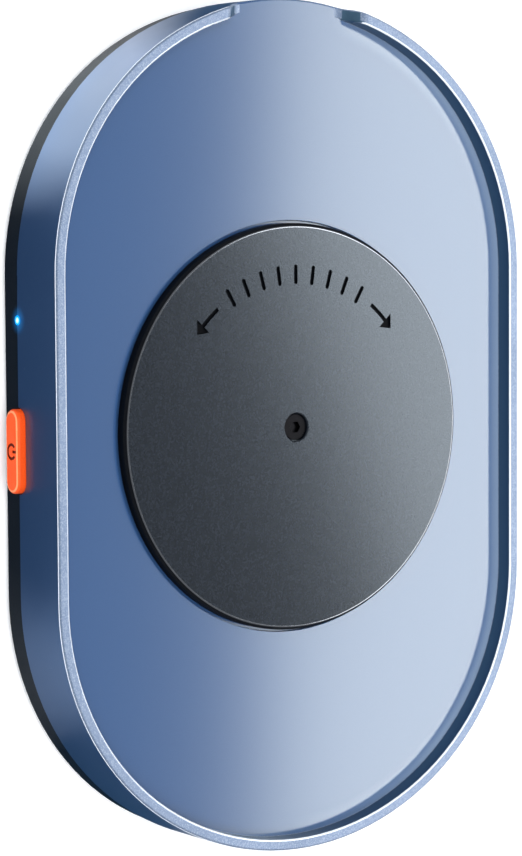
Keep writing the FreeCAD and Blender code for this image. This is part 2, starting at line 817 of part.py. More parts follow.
def make_motor_pinion():
    teeth = int(size("motor_pinion_teeth"))
    turn = mesh_turn(teeth, int(size("idler_wheel_teeth")), 0, math.pi / 2)
    shape = toothed_blank(teeth, int(size("pinion_flank_runs")), size("pinion_low"), size("pinion_face"), turn)
    shape = shape.cut(rod("rotor_shaft_radius", "pinion_low", "pinion_top"))
    gear_node("motor_pinion", shape, "-motor_place")


# Bearings and pins
def make_bearings():
    ring("spindle_bush", "bush_bore", "bush_radius", "bush_low", "well_floor")
    ring("spindle_pin", "0", "spindle_pin_radius", "pin_foot", "spindle_pin_top")
    ring("thrust_washer", "spindle_pin_radius", "washer_radius", "spindle_boss_top", "washer_top")
    ring("idler_pin", "0", "idler_pin_radius", "pin_foot", "idler_pin_top", along="-idler_place")


# Motor: drawn can, coil, magnet on its shaft, bush, flange with two ears and terminal block
def make_motor():
    place = "-motor_place"
    turned("motor_can", [
        ("0", "base_inside"), ("can_radius", "base_inside"), ("can_radius", "can_top"),
        ("can_inside", "can_top"), ("can_inside", "coil_low"), ("0", "coil_low")], along=place)
    ring("motor_coil", "coil_inner", "coil_outer", "coil_low", "can_top", along=place)
    ring("rotor_magnet", "rotor_shaft_radius", "rotor_radius", "rotor_low", "rotor_top", along=place)
    ring("rotor_shaft", "0", "rotor_shaft_radius", "coil_low + running_clearance", "pinion_top", along=place)
    ring("motor_bush", "motor_bush_bore", "motor_bush_radius", "can_top", "motor_bush_top", along=place)
    make_motor_flange()
    make_terminal()


def make_motor_flange():
    body = new_body("motor_flange")
    plan = new_sketch(body, "flange_plan", "can_top")
    circle(plan, "can_radius", "0", "-motor_place")
    pad(body, plan, "flange_thickness")
    ears = new_sketch(body, "flange_ears", "can_top")
    profile(ears, [
        ("-ear_across + ear_aside", "-motor_place - ear_along - ear_beside", ""),
        ("ear_across + ear_aside", "-motor_place + ear_along - ear_beside", "ear_radius"),
        ("ear_across + ear_beside", "-motor_place + ear_along + ear_aside", "ear_radius"),
        ("ear_across - ear_aside", "-motor_place + ear_along + ear_beside", ""),
        ("-ear_across - ear_aside", "-motor_place - ear_along + ear_beside", "ear_radius"),
        ("-ear_across - ear_beside", "-motor_place - ear_along - ear_aside", "ear_radius"),
    ])
    pad(body, ears, "flange_thickness")
    hole = new_sketch(body, "flange_bore", "flange_top")
    circle(hole, "motor_bush_radius", "0", "-motor_place")
    pocket(body, hole, "flange_thickness")
    ear_holes = new_sketch(body, "flange_ear_holes", "flange_top")
    octagons_at(ear_holes, "small_screw_shank + screw_clearance", EAR_PLACES)
    pocket(body, ear_holes, "flange_thickness")


def make_terminal():
    """The block on the can's side that the lead leaves."""
    half = "terminal_width / 2"
    under = "terminal_middle - terminal_height / 2"
    body = block("motor_terminal", "-can_radius - terminal_depth", "-can_radius / 2", f"-motor_place - {half}",
                 f"-motor_place + {half}", under, "terminal_height")
    can = new_sketch(body, "terminal_hollow", under)
    circle(can, "can_radius + running_clearance", "0", "-motor_place")
    pocket(body, can, "terminal_height", True)


def make_motor_lead():
    """The flat lead on edge: out of the terminal, round one bend, and up to the plug on the board."""
    body = new_body("motor_lead")
    plan = new_sketch(body, "lead_plan", "terminal_middle - ribbon_width / 2")
    start = "-can_radius - terminal_depth"
    near = "-motor_place + ribbon_half"
    far = "-motor_place - ribbon_half"
    bend_end = "-motor_place + ribbon_bend"
    profile(plan, [
        (start, far, ""),
        (start, near, ""),
        ("-ribbon_turn", near, "-(ribbon_bend - ribbon_half)"),
        ("-plug_place + ribbon_half", bend_end, ""),
        ("-plug_place + ribbon_half", "-board_low", ""),
        ("-plug_place - ribbon_half", "-board_low", ""),
        ("-plug_place - ribbon_half", bend_end, "ribbon_bend + ribbon_half"),
        ("-ribbon_turn", far, ""),
    ])
    pad(body, plan, "ribbon_width")


# Circuit board and its parts
def make_board():
    body = new_body("circuit_board")
    plan = new_sketch(body, "board_plan", "board_under")
    case_outline(plan, "board_inset")
    pad(body, plan, "board_thickness")
    cuts = (
        ("board_low_side", "-half_width", "half_width", "-half_length", "-board_low"),
        ("board_right_side", "board_right", "half_width", "-half_length", "half_length"),
        ("board_corner", "0", "half_width", "-half_length", "board_cutout"),
    )
    for name, left, right, low, high in cuts:
        cut = new_sketch(body, name, "board_top")
        rectangle(cut, left, right, low, high)
        pocket(body, cut, "board_thickness")
    middle = new_sketch(body, "board_cutout", "board_top")
    circle(middle, "board_cutout")
    pocket(body, middle, "board_thickness")
    holes = new_sketch(body, "board_holes", "board_top")
    circle(holes, "boss_radius + board_boss_gap", "-boss_across", "boss_along")
    octagons_at(holes, "small_screw_shank + screw_clearance", BOARD_SCREW_PLACES)
    pocket(body, holes, "board_thickness")


def make_board_parts():
    half = "chip_width / 2"
    block("control_chip", "-" + half, half, f"chip_place - {half}", f"chip_place + {half}", "board_top",
          "chip_height")
    half = "plug_width / 2"
    block("motor_plug", f"-plug_place - {half}", f"-plug_place + {half}", "-board_low",
          "-board_low + plug_depth", "board_top", "plug_height")
    half = "led_width / 2"
    block("status_led", "-led_front", "-led_front + led_depth", f"lamp_place - {half}",
          f"lamp_place + {half}", "board_top", "led_height")


def make_switch():
    """The side-pressed switch with a square plunger, whose middle is level with the button's."""
    half = "switch_width / 2"
    body = block("tact_switch", "-switch_front", "-switch_front + switch_depth", f"-button_place - {half}",
                 f"-button_place + {half}", "board_top", "switch_height")
    half = "(plunger_width / 2 + running_clearance)"
    well = new_sketch(body, "plunger_well", "-switch_front", "YZ_Plane")
    rectangle(well, f"-button_place - {half}", f"-button_place + {half}", f"parting - {half}", f"parting + {half}")
    pocket(body, well, "plunger_entry + button_travel + plunger_end_gap", True)
    half = "plunger_width / 2"
    block("switch_plunger", "-button_inner", "-switch_front + plunger_entry", f"-button_place - {half}",
          f"-button_place + {half}", f"parting - {half}", "plunger_width")


# Power button: the proud obround with its flange behind the wall
def make_button():
    body = new_body("power_button")
    face = new_sketch(body, "button_outline", "-button_face", "YZ_Plane")
    obround(face, "-button_place", "parting", "button_half", "button_round")
    pad(body, face, "button_face - button_back")
    front = size("edge_tolerance - button_face")
    chamfer(body, "button_edge", "button_chamfer", lambda edge: edge.BoundBox.XMax < front)
    flange = new_sketch(body, "button_flange", "-button_back", "YZ_Plane")
    obround(flange, "-button_place", "parting", "(button_half + button_flange_lip)",
            "button_round + button_flange_lip")
    pad(body, flange, "button_flange")


# Lamp: a clear pin through the wall, in front of its light
def make_light_pipe():
    body = new_body("light_pipe")
    pin = new_sketch(body, "lamp_pin", "-half_width", "YZ_Plane")
    circle(pin, "lamp_radius", "lamp_place", "parting")
    pad(body, pin, "lamp_length")


# Charging socket: a drawn shell open to the outside, and its tongue
def make_socket():
    body = new_body("usb_socket")
    shell = new_sketch(body, "socket_shell", "-socket_mouth", "XZ_Plane")
    obround(shell, "0", "socket_middle", "socket_half", "socket_round")
    pad(body, shell, "socket_length")
    hollow = new_sketch(body, "socket_hollow", "-socket_mouth", "XZ_Plane")
    obround(hollow, "0", "socket_middle", "(socket_half - socket_wall)",
            "socket_round - socket_wall")
    pocket(body, hollow, "socket_length - socket_wall", True)
    tongue = new_body("usb_tongue")
    section = new_sketch(tongue, "tongue_section", "-(socket_mouth - tongue_setback)", "XZ_Plane")
    half = "tongue_width / 2"
    thick = "tongue_thickness / 2"
    rectangle(section, "-" + half, half, "socket_middle - " + thick, "socket_middle + " + thick)
    pad(tongue, section, "socket_length - socket_wall - tongue_setback")


def check_and_write():
    """Check every object, then write each sub-part to a file of its own name."""
    for item in doc.Objects:
        if "Invalid" in item.State or "Error" in item.State:
            raise ValueError(item.Name + " is in the state " + str(item.State))
    nodes = [item for item in doc.Objects if item.TypeId in ("PartDesign::Body", "Part::Feature")]
    for node in nodes:
        if node.Shape.isNull() or not node.Shape.isValid():
            raise ValueError(node.Label + " has no valid shape")
    for node in nodes:
        node.Shape.exportStep("parts/" + node.Label + ".step")
        print(node.Label, len(node.Shape.Solids), node.Shape.Volume)


fill_sheet()
make_top_case()
make_bottom_case()
make_disc()
make_disc_screw()
make_turntable_gear()
make_idler()
make_bearings()
make_motor()
make_motor_pinion()
make_motor_lead()
make_board()
make_board_parts()
make_switch()
make_button()
make_light_pipe()
make_socket()
make_small_screws()
make_case_screws()
make_feet()
check_and_write()
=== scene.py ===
import math

import bmesh
import bpy
from mathutils import Matrix, Vector


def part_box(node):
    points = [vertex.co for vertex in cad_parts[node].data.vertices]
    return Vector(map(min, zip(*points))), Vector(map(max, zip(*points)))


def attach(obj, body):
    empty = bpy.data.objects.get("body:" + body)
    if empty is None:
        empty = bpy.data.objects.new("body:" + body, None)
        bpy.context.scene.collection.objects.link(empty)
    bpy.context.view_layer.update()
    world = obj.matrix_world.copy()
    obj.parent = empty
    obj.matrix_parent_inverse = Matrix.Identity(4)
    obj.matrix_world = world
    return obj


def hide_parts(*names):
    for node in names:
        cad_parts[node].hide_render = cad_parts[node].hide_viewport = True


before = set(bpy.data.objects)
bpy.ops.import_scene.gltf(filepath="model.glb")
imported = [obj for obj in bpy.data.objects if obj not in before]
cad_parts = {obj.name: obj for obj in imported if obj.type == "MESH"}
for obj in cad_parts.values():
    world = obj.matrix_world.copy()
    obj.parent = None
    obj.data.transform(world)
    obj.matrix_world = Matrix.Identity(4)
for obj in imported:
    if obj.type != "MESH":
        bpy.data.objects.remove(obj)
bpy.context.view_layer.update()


# View: the tray seen from the side with the button, with the gap in its rim at the top of the
# picture. The turn, tip, roll and distance are a pinhole camera fitted to the photographed outline.
MM = 0.001
VIEW_TURN = math.radians(35.120)
VIEW_TIP = math.radians(4.176)
VIEW_ROLL = math.radians(0.361)
VIEW_DISTANCE = 430 * MM
VIEW_ASIDE = 5.804 * MM
VIEW_ALONG = 0.058 * MM
FILM_WIDTH = 36
FOCAL_SHARE = 3.4302

rim_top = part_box("top_case")[1].z
to_view = (Matrix.Rotation(VIEW_ROLL, 3, "Z") @ Matrix.Rotation(VIEW_TIP, 3, "X")
           @ Matrix.Rotation(VIEW_TURN, 3, "Y"))
from_view = to_view.transposed()
eye = Vector((0, 0, rim_top)) - from_view @ Vector((VIEW_ASIDE, VIEW_ALONG, -VIEW_DISTANCE))
camera = bpy.data.objects.new("camera", bpy.data.cameras.new("camera"))
camera.data.sensor_width = FILM_WIDTH
camera.data.lens = FILM_WIDTH * FOCAL_SHARE
camera.data.dof.use_dof = False
camera.matrix_world = Matrix.Translation(eye) @ from_view.to_4x4()
bpy.context.scene.collection.objects.link(camera)
bpy.context.scene.camera = camera
bpy.context.scene.view_settings.view_transform = "Standard"


# Top case: one aluminium shell, blasted fine, anodised blue, with a bright chamfer cut along both
# edges of its rim afterwards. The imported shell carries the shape; its edges are softened here.
CASE_BLUE = (0.026, 0.070, 0.178)
CASE_PALE = (0.036, 0.085, 0.205)
FLOOR_ROUGHNESS = 0.13
FLOOR_SHINE = 0.58
FLOOR_SHEEN = (0.955, 1.0, 0.95)
FOOT_PAINTED_LIGHT = (0.2, 0.275, 0.4)
FOOT_REACH = 2.8 * MM
FOOT_SIDE = 28 * MM
FOOT_SAMPLES = 8
FOOT_OPENING = (0.6, 1.0)
RIM_BLUE = (0.102, 0.148, 0.236)
RIM_PALE = (0.16, 0.215, 0.315)
WALL_BLUE = (0.085, 0.166, 0.33)
WALL_PALE = (0.106, 0.197, 0.375)
WALL_SEAL = 0.5
SEAL_ROUGHNESS = 0.3
INNER_BLUE = (0.07, 0.14, 0.215)
INNER_PALE = (0.09, 0.17, 0.26)
CHAMFER_BLUE = (0.8, 0.86, 0.95)
CHAMFER_PALE = (0.9, 0.95, 1.0)
CHAMFER_METAL = 0.2
CHAMFER_ROUGHNESS = (0.25, 0.37)
NOISE_ROUGHNESS = 0.6
NOISE_BAND = (0.3, 0.7)
GRAIN_SHARE = 0.35
BLAST_GRAIN = 0.14 * MM
BLAST_DEPTH = 0.008 * MM
FLOOR_DEPTH = BLAST_DEPTH / 40
WALL_DEPTH = BLAST_DEPTH / 20
CHAMFER_DEPTH = BLAST_DEPTH / 2
RIM_FINISH = {"metal": 0.3, "roughness": 0.5, "glint_share": 0.5, "depth": BLAST_DEPTH}
WALL_FINISH = {"metal": 0.85, "roughness": 0.32, "glint_share": 0.02, "depth": WALL_DEPTH}
GLINT_GRAIN = 0.13 * MM
PAINTED_GLINT = 0.17
CLOUD_GRAIN = 9 * MM
CLOUD_SWING = 0.07
EDGE_SOFTNESS = 0.08 * MM
EDGE_CUTS = 3
BEVEL_ROOM = 2.5
SHARP_ANGLE = math.radians(28)
FLAT_ANGLE = math.radians(0.6)
SAME_PLACE = 0.002 * MM
BAY_DEPTH = 2.7 * MM
STRAIGHT_HALF = 21 * MM
GAP_SIDE = 14 * MM
GAP_START = 50 * MM
GAP_STEEP = 0.88
CHAMFER_REACH = 0.35 * MM
UPRIGHT = 0.1
NEARLY_FLAT = 0.998
OUTER_LEAN = (0.35, 0.6)
INNER_LEAN = (0.6, 0.95)
FLOOR_SLOT, RIM_SLOT, WALL_SLOT, CHAMFER_SLOT, INNER_SLOT = range(5)


def add(tree, kind, feeds=None, **settings):
    """A node; each feed is an input's name with a value or with the socket that drives it."""
    node = tree.nodes.new(kind)
    for name, value in settings.items():
        setattr(node, name, value)
    for name, value in (feeds or {}).items():
        if isinstance(value, bpy.types.NodeSocket):
            tree.links.new(value, node.inputs[name])
        else:
            node.inputs[name].default_value = value
    return node


def new_material(name):
    """An empty material with its surface shader and the place of each point on the object."""
    material = bpy.data.materials.new(name)
    material.use_nodes = True
    tree = material.node_tree
    shader = tree.nodes["Principled BSDF"]
    place = add(tree, "ShaderNodeTexCoord").outputs["Object"]
    return material, tree, shader, place


def speckle(tree, place, grain, detail=2):
    """Noise whose lumps are about one grain across."""
    return add(tree, "ShaderNodeTexNoise", {"Vector": place, "Scale": 1 / grain, "Detail": detail,
                                            "Roughness": NOISE_ROUGHNESS}).outputs["Fac"]


def blend_colours(tree, share, first, second):
    """From the first colour to the second, through the mix node's colour sockets."""
    mix = add(tree, "ShaderNodeMix", {"Factor": share}, data_type="RGBA")
    sockets = [socket for socket in mix.inputs if socket.type == "RGBA"]
    for socket, colour in zip(sockets, (first, second)):
        if isinstance(colour, bpy.types.NodeSocket):
            tree.links.new(colour, socket)
        else:
            socket.default_value = (*colour, 1)
    return next(socket for socket in mix.outputs if socket.type == "RGBA")


def spread(tree, share, low, high, start=0.0, end=1.0):
    """Map a share between start and end onto low to high."""
    return add(tree, "ShaderNodeMapRange", {"Value": share, "From Min": start, "From Max": end,
                                            "To Min": low, "To Max": high}).outputs["Result"]


def roughen(tree, shader, height, depth):
    """Bump the surface by a height map that is as deep as given."""
    bump = add(tree, "ShaderNodeBump", {"Height": height, "Distance": depth, "Strength": 1.0})
    tree.links.new(bump.outputs["Normal"], shader.inputs["Normal"])


def feed(tree, shader, **inputs):
    """Set or drive the shader's inputs; an underscore in a name stands for a space."""
    for name, value in inputs.items():
        name = name.replace("_", " ")
        if isinstance(value, bpy.types.NodeSocket):
            tree.links.new(value, shader.inputs[name])
        elif isinstance(value, tuple):
            shader.inputs[name].default_value = (*value, 1)
        else:
            shader.inputs[name].default_value = value


def anodised(name, dark, pale, metal, roughness, glint_share, depth, seal=0.0):
    """Blasted and anodised aluminium. A share of the grains is painted paler in the base colour as painted
    glints, and seal is the weight of the clear layer that closes the pores."""
    material, tree, shader, place = new_material(name)
    grains = speckle(tree, place, BLAST_GRAIN)
    clouds = speckle(tree, place, CLOUD_GRAIN)
    # Painted glints: some grains are mixed towards a pale colour in the base colour.
    glint_cells = add(tree, "ShaderNodeTexVoronoi", {"Vector": place, "Scale": 1 / GLINT_GRAIN})
    bright = spread(tree, glint_cells.outputs["Color"], 0, PAINTED_GLINT, 1 - glint_share, 1)
    ground = blend_colours(tree, spread(tree, grains, 0, GRAIN_SHARE, *NOISE_BAND), dark, pale)
    gloss = [roughness * (1 + swing) for swing in (-CLOUD_SWING, CLOUD_SWING)]
    feed(tree, shader, Metallic=metal, Base_Color=blend_colours(tree, bright, ground, CHAMFER_PALE),
         Roughness=spread(tree, clouds, *gloss, *NOISE_BAND), Coat_Weight=seal, Coat_Roughness=SEAL_ROUGHNESS)
    roughen(tree, shader, grains, depth)
    return material


def satin(name):
    """The bay's floor: smoother than the rim, so that it mirrors the lights softly, with painted light: a
    pale band along the foot of the wall away from the button, where an occlusion node finds the wall close."""
    material, tree, shader, place = new_material(name)
    grains = speckle(tree, place, BLAST_GRAIN)
    ground = blend_colours(tree, spread(tree, grains, 0, GRAIN_SHARE, *NOISE_BAND), CASE_BLUE, CASE_PALE)
    opening = add(tree, "ShaderNodeAmbientOcclusion", {"Distance": FOOT_REACH}, samples=FOOT_SAMPLES,
                  only_local=True).outputs["AO"]
    across = add(tree, "ShaderNodeSeparateXYZ", {"Vector": place}).outputs["X"]
    # Painted light: the floor's colour turns pale near the wall's foot on the side away from the button.
    painted_light_band = add(tree, "ShaderNodeMath", {0: spread(tree, opening, 1, 0, *FOOT_OPENING),
                                        1: spread(tree, across, 0, 1, 0, FOOT_SIDE)}, operation="MULTIPLY")
    feed(tree, shader, Base_Color=blend_colours(tree, painted_light_band.outputs["Value"], ground, FOOT_PAINTED_LIGHT),
         Roughness=FLOOR_ROUGHNESS, Specular_IOR_Level=FLOOR_SHINE, Specular_Tint=FLOOR_SHEEN)
    roughen(tree, shader, grains, FLOOR_DEPTH)
    return material


def bright_cut(name):
    """The chamfer: cut after anodising, then sealed clear, with fine marks along the cut."""
    material, tree, shader, place = new_material(name)
    marks = speckle(tree, place, BLAST_GRAIN, detail=4)
    feed(tree, shader, Metallic=CHAMFER_METAL, Roughness=spread(tree, marks, *CHAMFER_ROUGHNESS, *NOISE_BAND),
         Base_Color=blend_colours(tree, marks, CHAMFER_BLUE, CHAMFER_PALE))
    roughen(tree, shader, marks, CHAMFER_DEPTH)
    return material


def has_room(edge, softness):
    """Whether the edge and those beside it are long enough to be rounded."""
    beside = (other for vert in edge.verts for other in vert.link_edges)
    return all(other.calc_length() > BEVEL_ROOM * softness for other in beside)


def softened_copy(node, name, softness):
    """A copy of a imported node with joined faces, smooth round stretches and rounded edges."""
    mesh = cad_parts[node].data.copy()
    mesh.materials.clear()
    form = bmesh.new()
    form.from_mesh(mesh)
    bmesh.ops.remove_doubles(form, verts=form.verts, dist=SAME_PLACE)
    bmesh.ops.dissolve_limit(form, angle_limit=FLAT_ANGLE, verts=form.verts, edges=form.edges,
                             use_dissolve_boundaries=False)
    sharp = [edge for edge in form.edges
             if edge.is_manifold and edge.calc_face_angle(0) > SHARP_ANGLE and has_room(edge, softness)]
    bmesh.ops.bevel(form, geom=sharp, offset=softness, offset_type="OFFSET", affect="EDGES",
                    segments=EDGE_CUTS, profile=0.5, material=-1, clamp_overlap=False)
    finish_mesh(form, mesh)
    return link(mesh, name)


def finish_mesh(form, mesh):
    """Turn the faces outward, mark the edges that stay sharp and write the mesh."""
    bmesh.ops.recalc_face_normals(form, faces=form.faces)
    for face in form.faces:
        face.smooth = True
    for edge in form.edges:
        edge.smooth = not (edge.is_manifold and edge.calc_face_angle(0) > SHARP_ANGLE)
    form.to_mesh(mesh)
    form.free()


def link(mesh, name):
    """The piece of the mesh, with shading that keeps flat faces flat beside rounded edges."""
    mesh.name = name
    piece = bpy.data.objects.new(name, mesh)
    bpy.context.scene.collection.objects.link(piece)
    shading = piece.modifiers.new("shading", "WEIGHTED_NORMAL")
    shading.keep_sharp = True
    shading.weight = 100
    return piece


def stand_for(piece, node, body):
    """The piece is shown in place of the node and moves with the body."""
    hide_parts(node)
    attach(piece, body)


def shell_slot(face):
    """Which of the shell's finishes a face has, from its place and its lean."""
    middle = face.calc_center_median()
    lean = face.normal.z
    ahead = max(-STRAIGHT_HALF, min(STRAIGHT_HALF, middle.y))
    outward = face.normal.x * middle.x + face.normal.y * (middle.y - ahead) > 0
    at_gap = abs(middle.x) < GAP_SIDE and middle.y > GAP_START and abs(face.normal.x) > abs(face.normal.y)
    if lean < UPRIGHT:
        return WALL_SLOT if outward else INNER_SLOT
    if middle.z <= bay_floor + SAME_PLACE:
        return FLOOR_SLOT
    if at_gap:
        return INNER_SLOT if lean < GAP_STEEP else RIM_SLOT
    if middle.z <= rim_top - CHAMFER_REACH or lean >= NEARLY_FLAT:
        return RIM_SLOT
    low, high = OUTER_LEAN if outward else INNER_LEAN
    if lean <= low:
        return WALL_SLOT if outward else INNER_SLOT
    return CHAMFER_SLOT if lean <= high else RIM_SLOT


bay_floor = rim_top - BAY_DEPTH
shell = softened_copy("top_case", "case_shell", EDGE_SOFTNESS)
for material in (satin("case_floor"),
                 anodised("case_rim", RIM_BLUE, RIM_PALE, **RIM_FINISH),
                 anodised("case_wall", WALL_BLUE, WALL_PALE, seal=WALL_SEAL, **WALL_FINISH),
                 bright_cut("case_chamfer"),
                 anodised("case_inner", INNER_BLUE, INNER_PALE, **WALL_FINISH)):
    shell.data.materials.append(material)
form = bmesh.new()
form.from_mesh(shell.data)
for face in form.faces:
    face.material_index = shell_slot(face)
form.to_mesh(shell.data)
form.free()
stand_for(shell, "top_case", "case")


# Bottom case: a satin black moulding with a fine spark-eroded grain, screwed up into the shell
# and set in by a small step below the parting line.
BASE_BLACK = (0.005, 0.006, 0.008)
BASE_WORN = (0.012, 0.014, 0.018)
BASE_SHEEN = (0.5, 0.78, 1.0)
MOULD_GRAIN = 0.18 * MM
MOULD_DEPTH = 0.01 * MM
MOULD_BAND = (0.35, 0.75)
GLOSS_SWING = (-0.03, 0.05)
WHITE = (1.0, 1.0, 1.0)


def moulded(name, dark, pale, roughness, depth=MOULD_DEPTH, grain=MOULD_GRAIN, shine=0.5, tint=WHITE):
    """Moulded plastic with a textured tool surface and a slow change of gloss."""
    material, tree, shader, place = new_material(name)
    grains = speckle(tree, place, grain, detail=3)
    clouds = speckle(tree, place, CLOUD_GRAIN)
    gloss = [roughness + swing for swing in GLOSS_SWING]
    feed(tree, shader, Base_Color=blend_colours(tree, spread(tree, grains, 0, 1, *MOULD_BAND), dark, pale),
         Roughness=spread(tree, clouds, *gloss, *NOISE_BAND), Specular_IOR_Level=shine, Specular_Tint=tint)
    roughen(tree, shader, grains, depth)
    return material


base = softened_copy("bottom_case", "case_base", EDGE_SOFTNESS)
base.data.materials.append(moulded("base_black", BASE_BLACK, BASE_WORN, roughness=0.38, shine=0.2,
                                   tint=BASE_SHEEN))
stand_for(base, "bottom_case", "case")


# Turntable disc: machined aluminium, blasted to a leathery grain and anodised dark grey. Its rim
# is turned to a soft chamfer, and the marks that show its turning are sunk into the face.
DISC_DARK = (0.001, 0.0015, 0.003)
DISC_PALE = (0.012, 0.015, 0.022)
DISC_SHEEN = (0.76, 0.885, 1.0)
DISC_SHINE = 0.41
DISC_ROUGHNESS = (0.13, 0.16)
DISC_GRAIN = 0.24 * MM
DISC_GRAIN_DEPTH = 0.0034 * MM
DISC_SIDE = (0.006, 0.007, 0.009)
MARK_DARK = (0.0015, 0.0018, 0.0025)
EDGE_GREY = (0.14, 0.148, 0.162)
EDGE_PALE = (0.25, 0.26, 0.275)
EDGE_FINISH = {"metal": 1.0, "roughness": 0.22, "glint_share": 0, "depth": WALL_DEPTH}
ROUND_STEPS = 192
DISC_CHAMFER = 0.5 * MM
DISC_ROUNDING = 0.3 * MM
ROUNDING_STEPS = 6
RECESS_RADIUS = 2.05 * MM
RECESS_DEPTH = 1.1 * MM
RECESS_LIP = 0.15 * MM
HOLE_RADIUS = 1.1 * MM
MARK_RADIUS = 22.4 * MM
MARK_DEPTH = 0.3 * MM
MARK_STEPS = 8
TICK_LENGTH = 2.9 * MM
TICK_WIDTH = 0.62 * MM
TICK_COUNT = 9
TICK_SPREAD = math.radians(62)
ARROW_START = math.radians(38)
ARROW_END = math.radians(47)
ARROW_HEAD = math.radians(4.2)
SIDE_SLOT, MARK_SLOT, EDGE_SLOT = 1, 2, 3

disc_low, disc_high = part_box("turntable_disc")
disc_radius = (disc_high.x - disc_low.x) / 2
tangent = DISC_ROUNDING * math.tan(math.pi / 8)


def closed_loop(form, points):
    """A ring of edges through the points."""
    corners = [form.verts.new(point) for point in points]
    return [form.edges.new(pair) for pair in zip(corners, corners[1:] + corners[:1])]


def only(kind, parts):
    """The parts that are of one kind: points, edges or faces."""
    return [part for part in parts if isinstance(part, kind)]


def fill(form, *loops):
    """One flat face set inside the first loop, less the loops within it."""
    edges = [edge for loop in loops for edge in loop]
    grown = bmesh.ops.triangle_fill(form, edges=edges, use_beauty=True, use_dissolve=False)["geom"]
    return only(bmesh.types.BMFace, grown)


def sink(form, brim, move):
    """The walls and the flat bottom of a recess below its brim."""
    grown = bmesh.ops.extrude_edge_only(form, edges=brim)["geom"]
    bmesh.ops.translate(form, vec=move, verts=only(bmesh.types.BMVert, grown))
    return only(bmesh.types.BMFace, grown) + fill(form, only(bmesh.types.BMEdge, grown))


def disc_profile():
    """Radius and height of the turned outline, from the recess round to the edge of the face."""
    eighth = math.pi / 4
    turns = [eighth * (1 - step / ROUNDING_STEPS) for step in range(ROUNDING_STEPS + 1)]
    side_top = disc_high.z - DISC_CHAMFER - tangent
    side = [(disc_radius - DISC_ROUNDING * (1 - math.sin(turn + eighth)),
             side_top + DISC_ROUNDING * math.cos(turn + eighth)) for turn in turns]
    brow = [(disc_radius - DISC_CHAMFER - tangent + DISC_ROUNDING * math.sin(turn),
             disc_high.z - DISC_ROUNDING * (1 - math.cos(turn))) for turn in turns]
    return [(RECESS_RADIUS + RECESS_LIP, disc_high.z), (RECESS_RADIUS, disc_high.z - RECESS_LIP),
            (RECESS_RADIUS, disc_high.z - RECESS_DEPTH), (HOLE_RADIUS, disc_high.z - RECESS_DEPTH),
            (HOLE_RADIUS, disc_low.z), (disc_radius - DISC_CHAMFER / 2, disc_low.z),
            (disc_radius, disc_low.z + DISC_CHAMFER / 2), *side, *brow]


def polar(radius, turn):
    """A point of the disc's face, with the turn taken from the gap's side."""
    return (-radius * math.sin(turn), radius * math.cos(turn))


def tick(turn):
    """A short upright mark with round ends, towards the axis."""
    rounding = TICK_WIDTH / 2
    straight = TICK_LENGTH / 2 - rounding
    bends = [math.pi * step / MARK_STEPS for step in range(MARK_STEPS + 1)]
    outline = [(rounding * math.cos(bend), straight + rounding * math.sin(bend)) for bend in bends]
    outline += [(-across, -along) for across, along in outline]
    place = Vector(polar(MARK_RADIUS, turn))
    facing = Matrix.Rotation(turn, 2)
    return [place + facing @ Vector(point) for point in outline]


def arrow(side):
    """A curved arrow that points away from the row of ticks."""
    shaft = [ARROW_START + (ARROW_END - ARROW_START) * step / MARK_STEPS for step in range(MARK_STEPS + 1)]
    points = [(MARK_RADIUS - TICK_WIDTH / 2, turn) for turn in shaft]
    points += [(MARK_RADIUS - TICK_LENGTH / 2, ARROW_END), (MARK_RADIUS, ARROW_END + ARROW_HEAD),
               (MARK_RADIUS + TICK_LENGTH / 2, ARROW_END)]
    points += [(MARK_RADIUS + TICK_WIDTH / 2, turn) for turn in reversed(shaft)]
    return [Vector(polar(radius, side * turn)) for radius, turn in points]


def peppered(name):
    """The disc's face: fine light and dark grains under a satin skin."""
    material, tree, shader, place = new_material(name)
    grains = add(tree, "ShaderNodeTexVoronoi", {"Vector": place, "Scale": 1 / DISC_GRAIN}).outputs["Color"]
    fine = speckle(tree, place, DISC_GRAIN)
    feed(tree, shader, Base_Color=blend_colours(tree, grains, DISC_DARK, DISC_PALE),
         Roughness=spread(tree, fine, *DISC_ROUGHNESS, *NOISE_BAND), Specular_IOR_Level=DISC_SHINE,
         Specular_Tint=DISC_SHEEN)
    roughen(tree, shader, fine, DISC_GRAIN_DEPTH)
    return material


form = bmesh.new()
mesh = bpy.data.meshes.new("turntable_face")
outline = [form.verts.new((radius, 0, height)) for radius, height in disc_profile()]
runs = [form.edges.new(pair) for pair in zip(outline, outline[1:])]
bmesh.ops.spin(form, geom=outline + runs, cent=(0, 0, 0), axis=(0, 0, 1), angle=2 * math.pi,
               steps=ROUND_STEPS, use_merge=True)
borders = [edge for edge in form.edges if edge.is_boundary]
turns = [TICK_SPREAD * (step / (TICK_COUNT - 1) - 0.5) for step in range(TICK_COUNT)]
marks = [tick(turn) for turn in turns] + [arrow(side) for side in (-1, 1)]
brims = [closed_loop(form, [(*point, disc_high.z) for point in mark]) for mark in marks]
fill(form, borders, *brims)
for brim in brims:
    for face in sink(form, brim, (0, 0, -MARK_DEPTH)):
        face.material_index = MARK_SLOT
for face in form.faces:
    aside = face.calc_center_median().xy.length - (disc_radius - DISC_CHAMFER)
    if face.material_index != MARK_SLOT and aside > -tangent:
        face.material_index = SIDE_SLOT if aside > tangent else EDGE_SLOT
finish_mesh(form, mesh)
disc = link(mesh, "turntable_face")
for material in (peppered("disc_grey"),
                 moulded("disc_side", DISC_DARK, DISC_SIDE, roughness=0.45, depth=MOULD_DEPTH / 4, shine=0.1),
                 moulded("disc_mark", MARK_DARK, DISC_DARK, roughness=0.6, shine=0.03),
                 anodised("disc_edge", EDGE_GREY, EDGE_PALE, **EDGE_FINISH)):
    disc.data.materials.append(material)
stand_for(disc, "turntable_disc", "turntable")
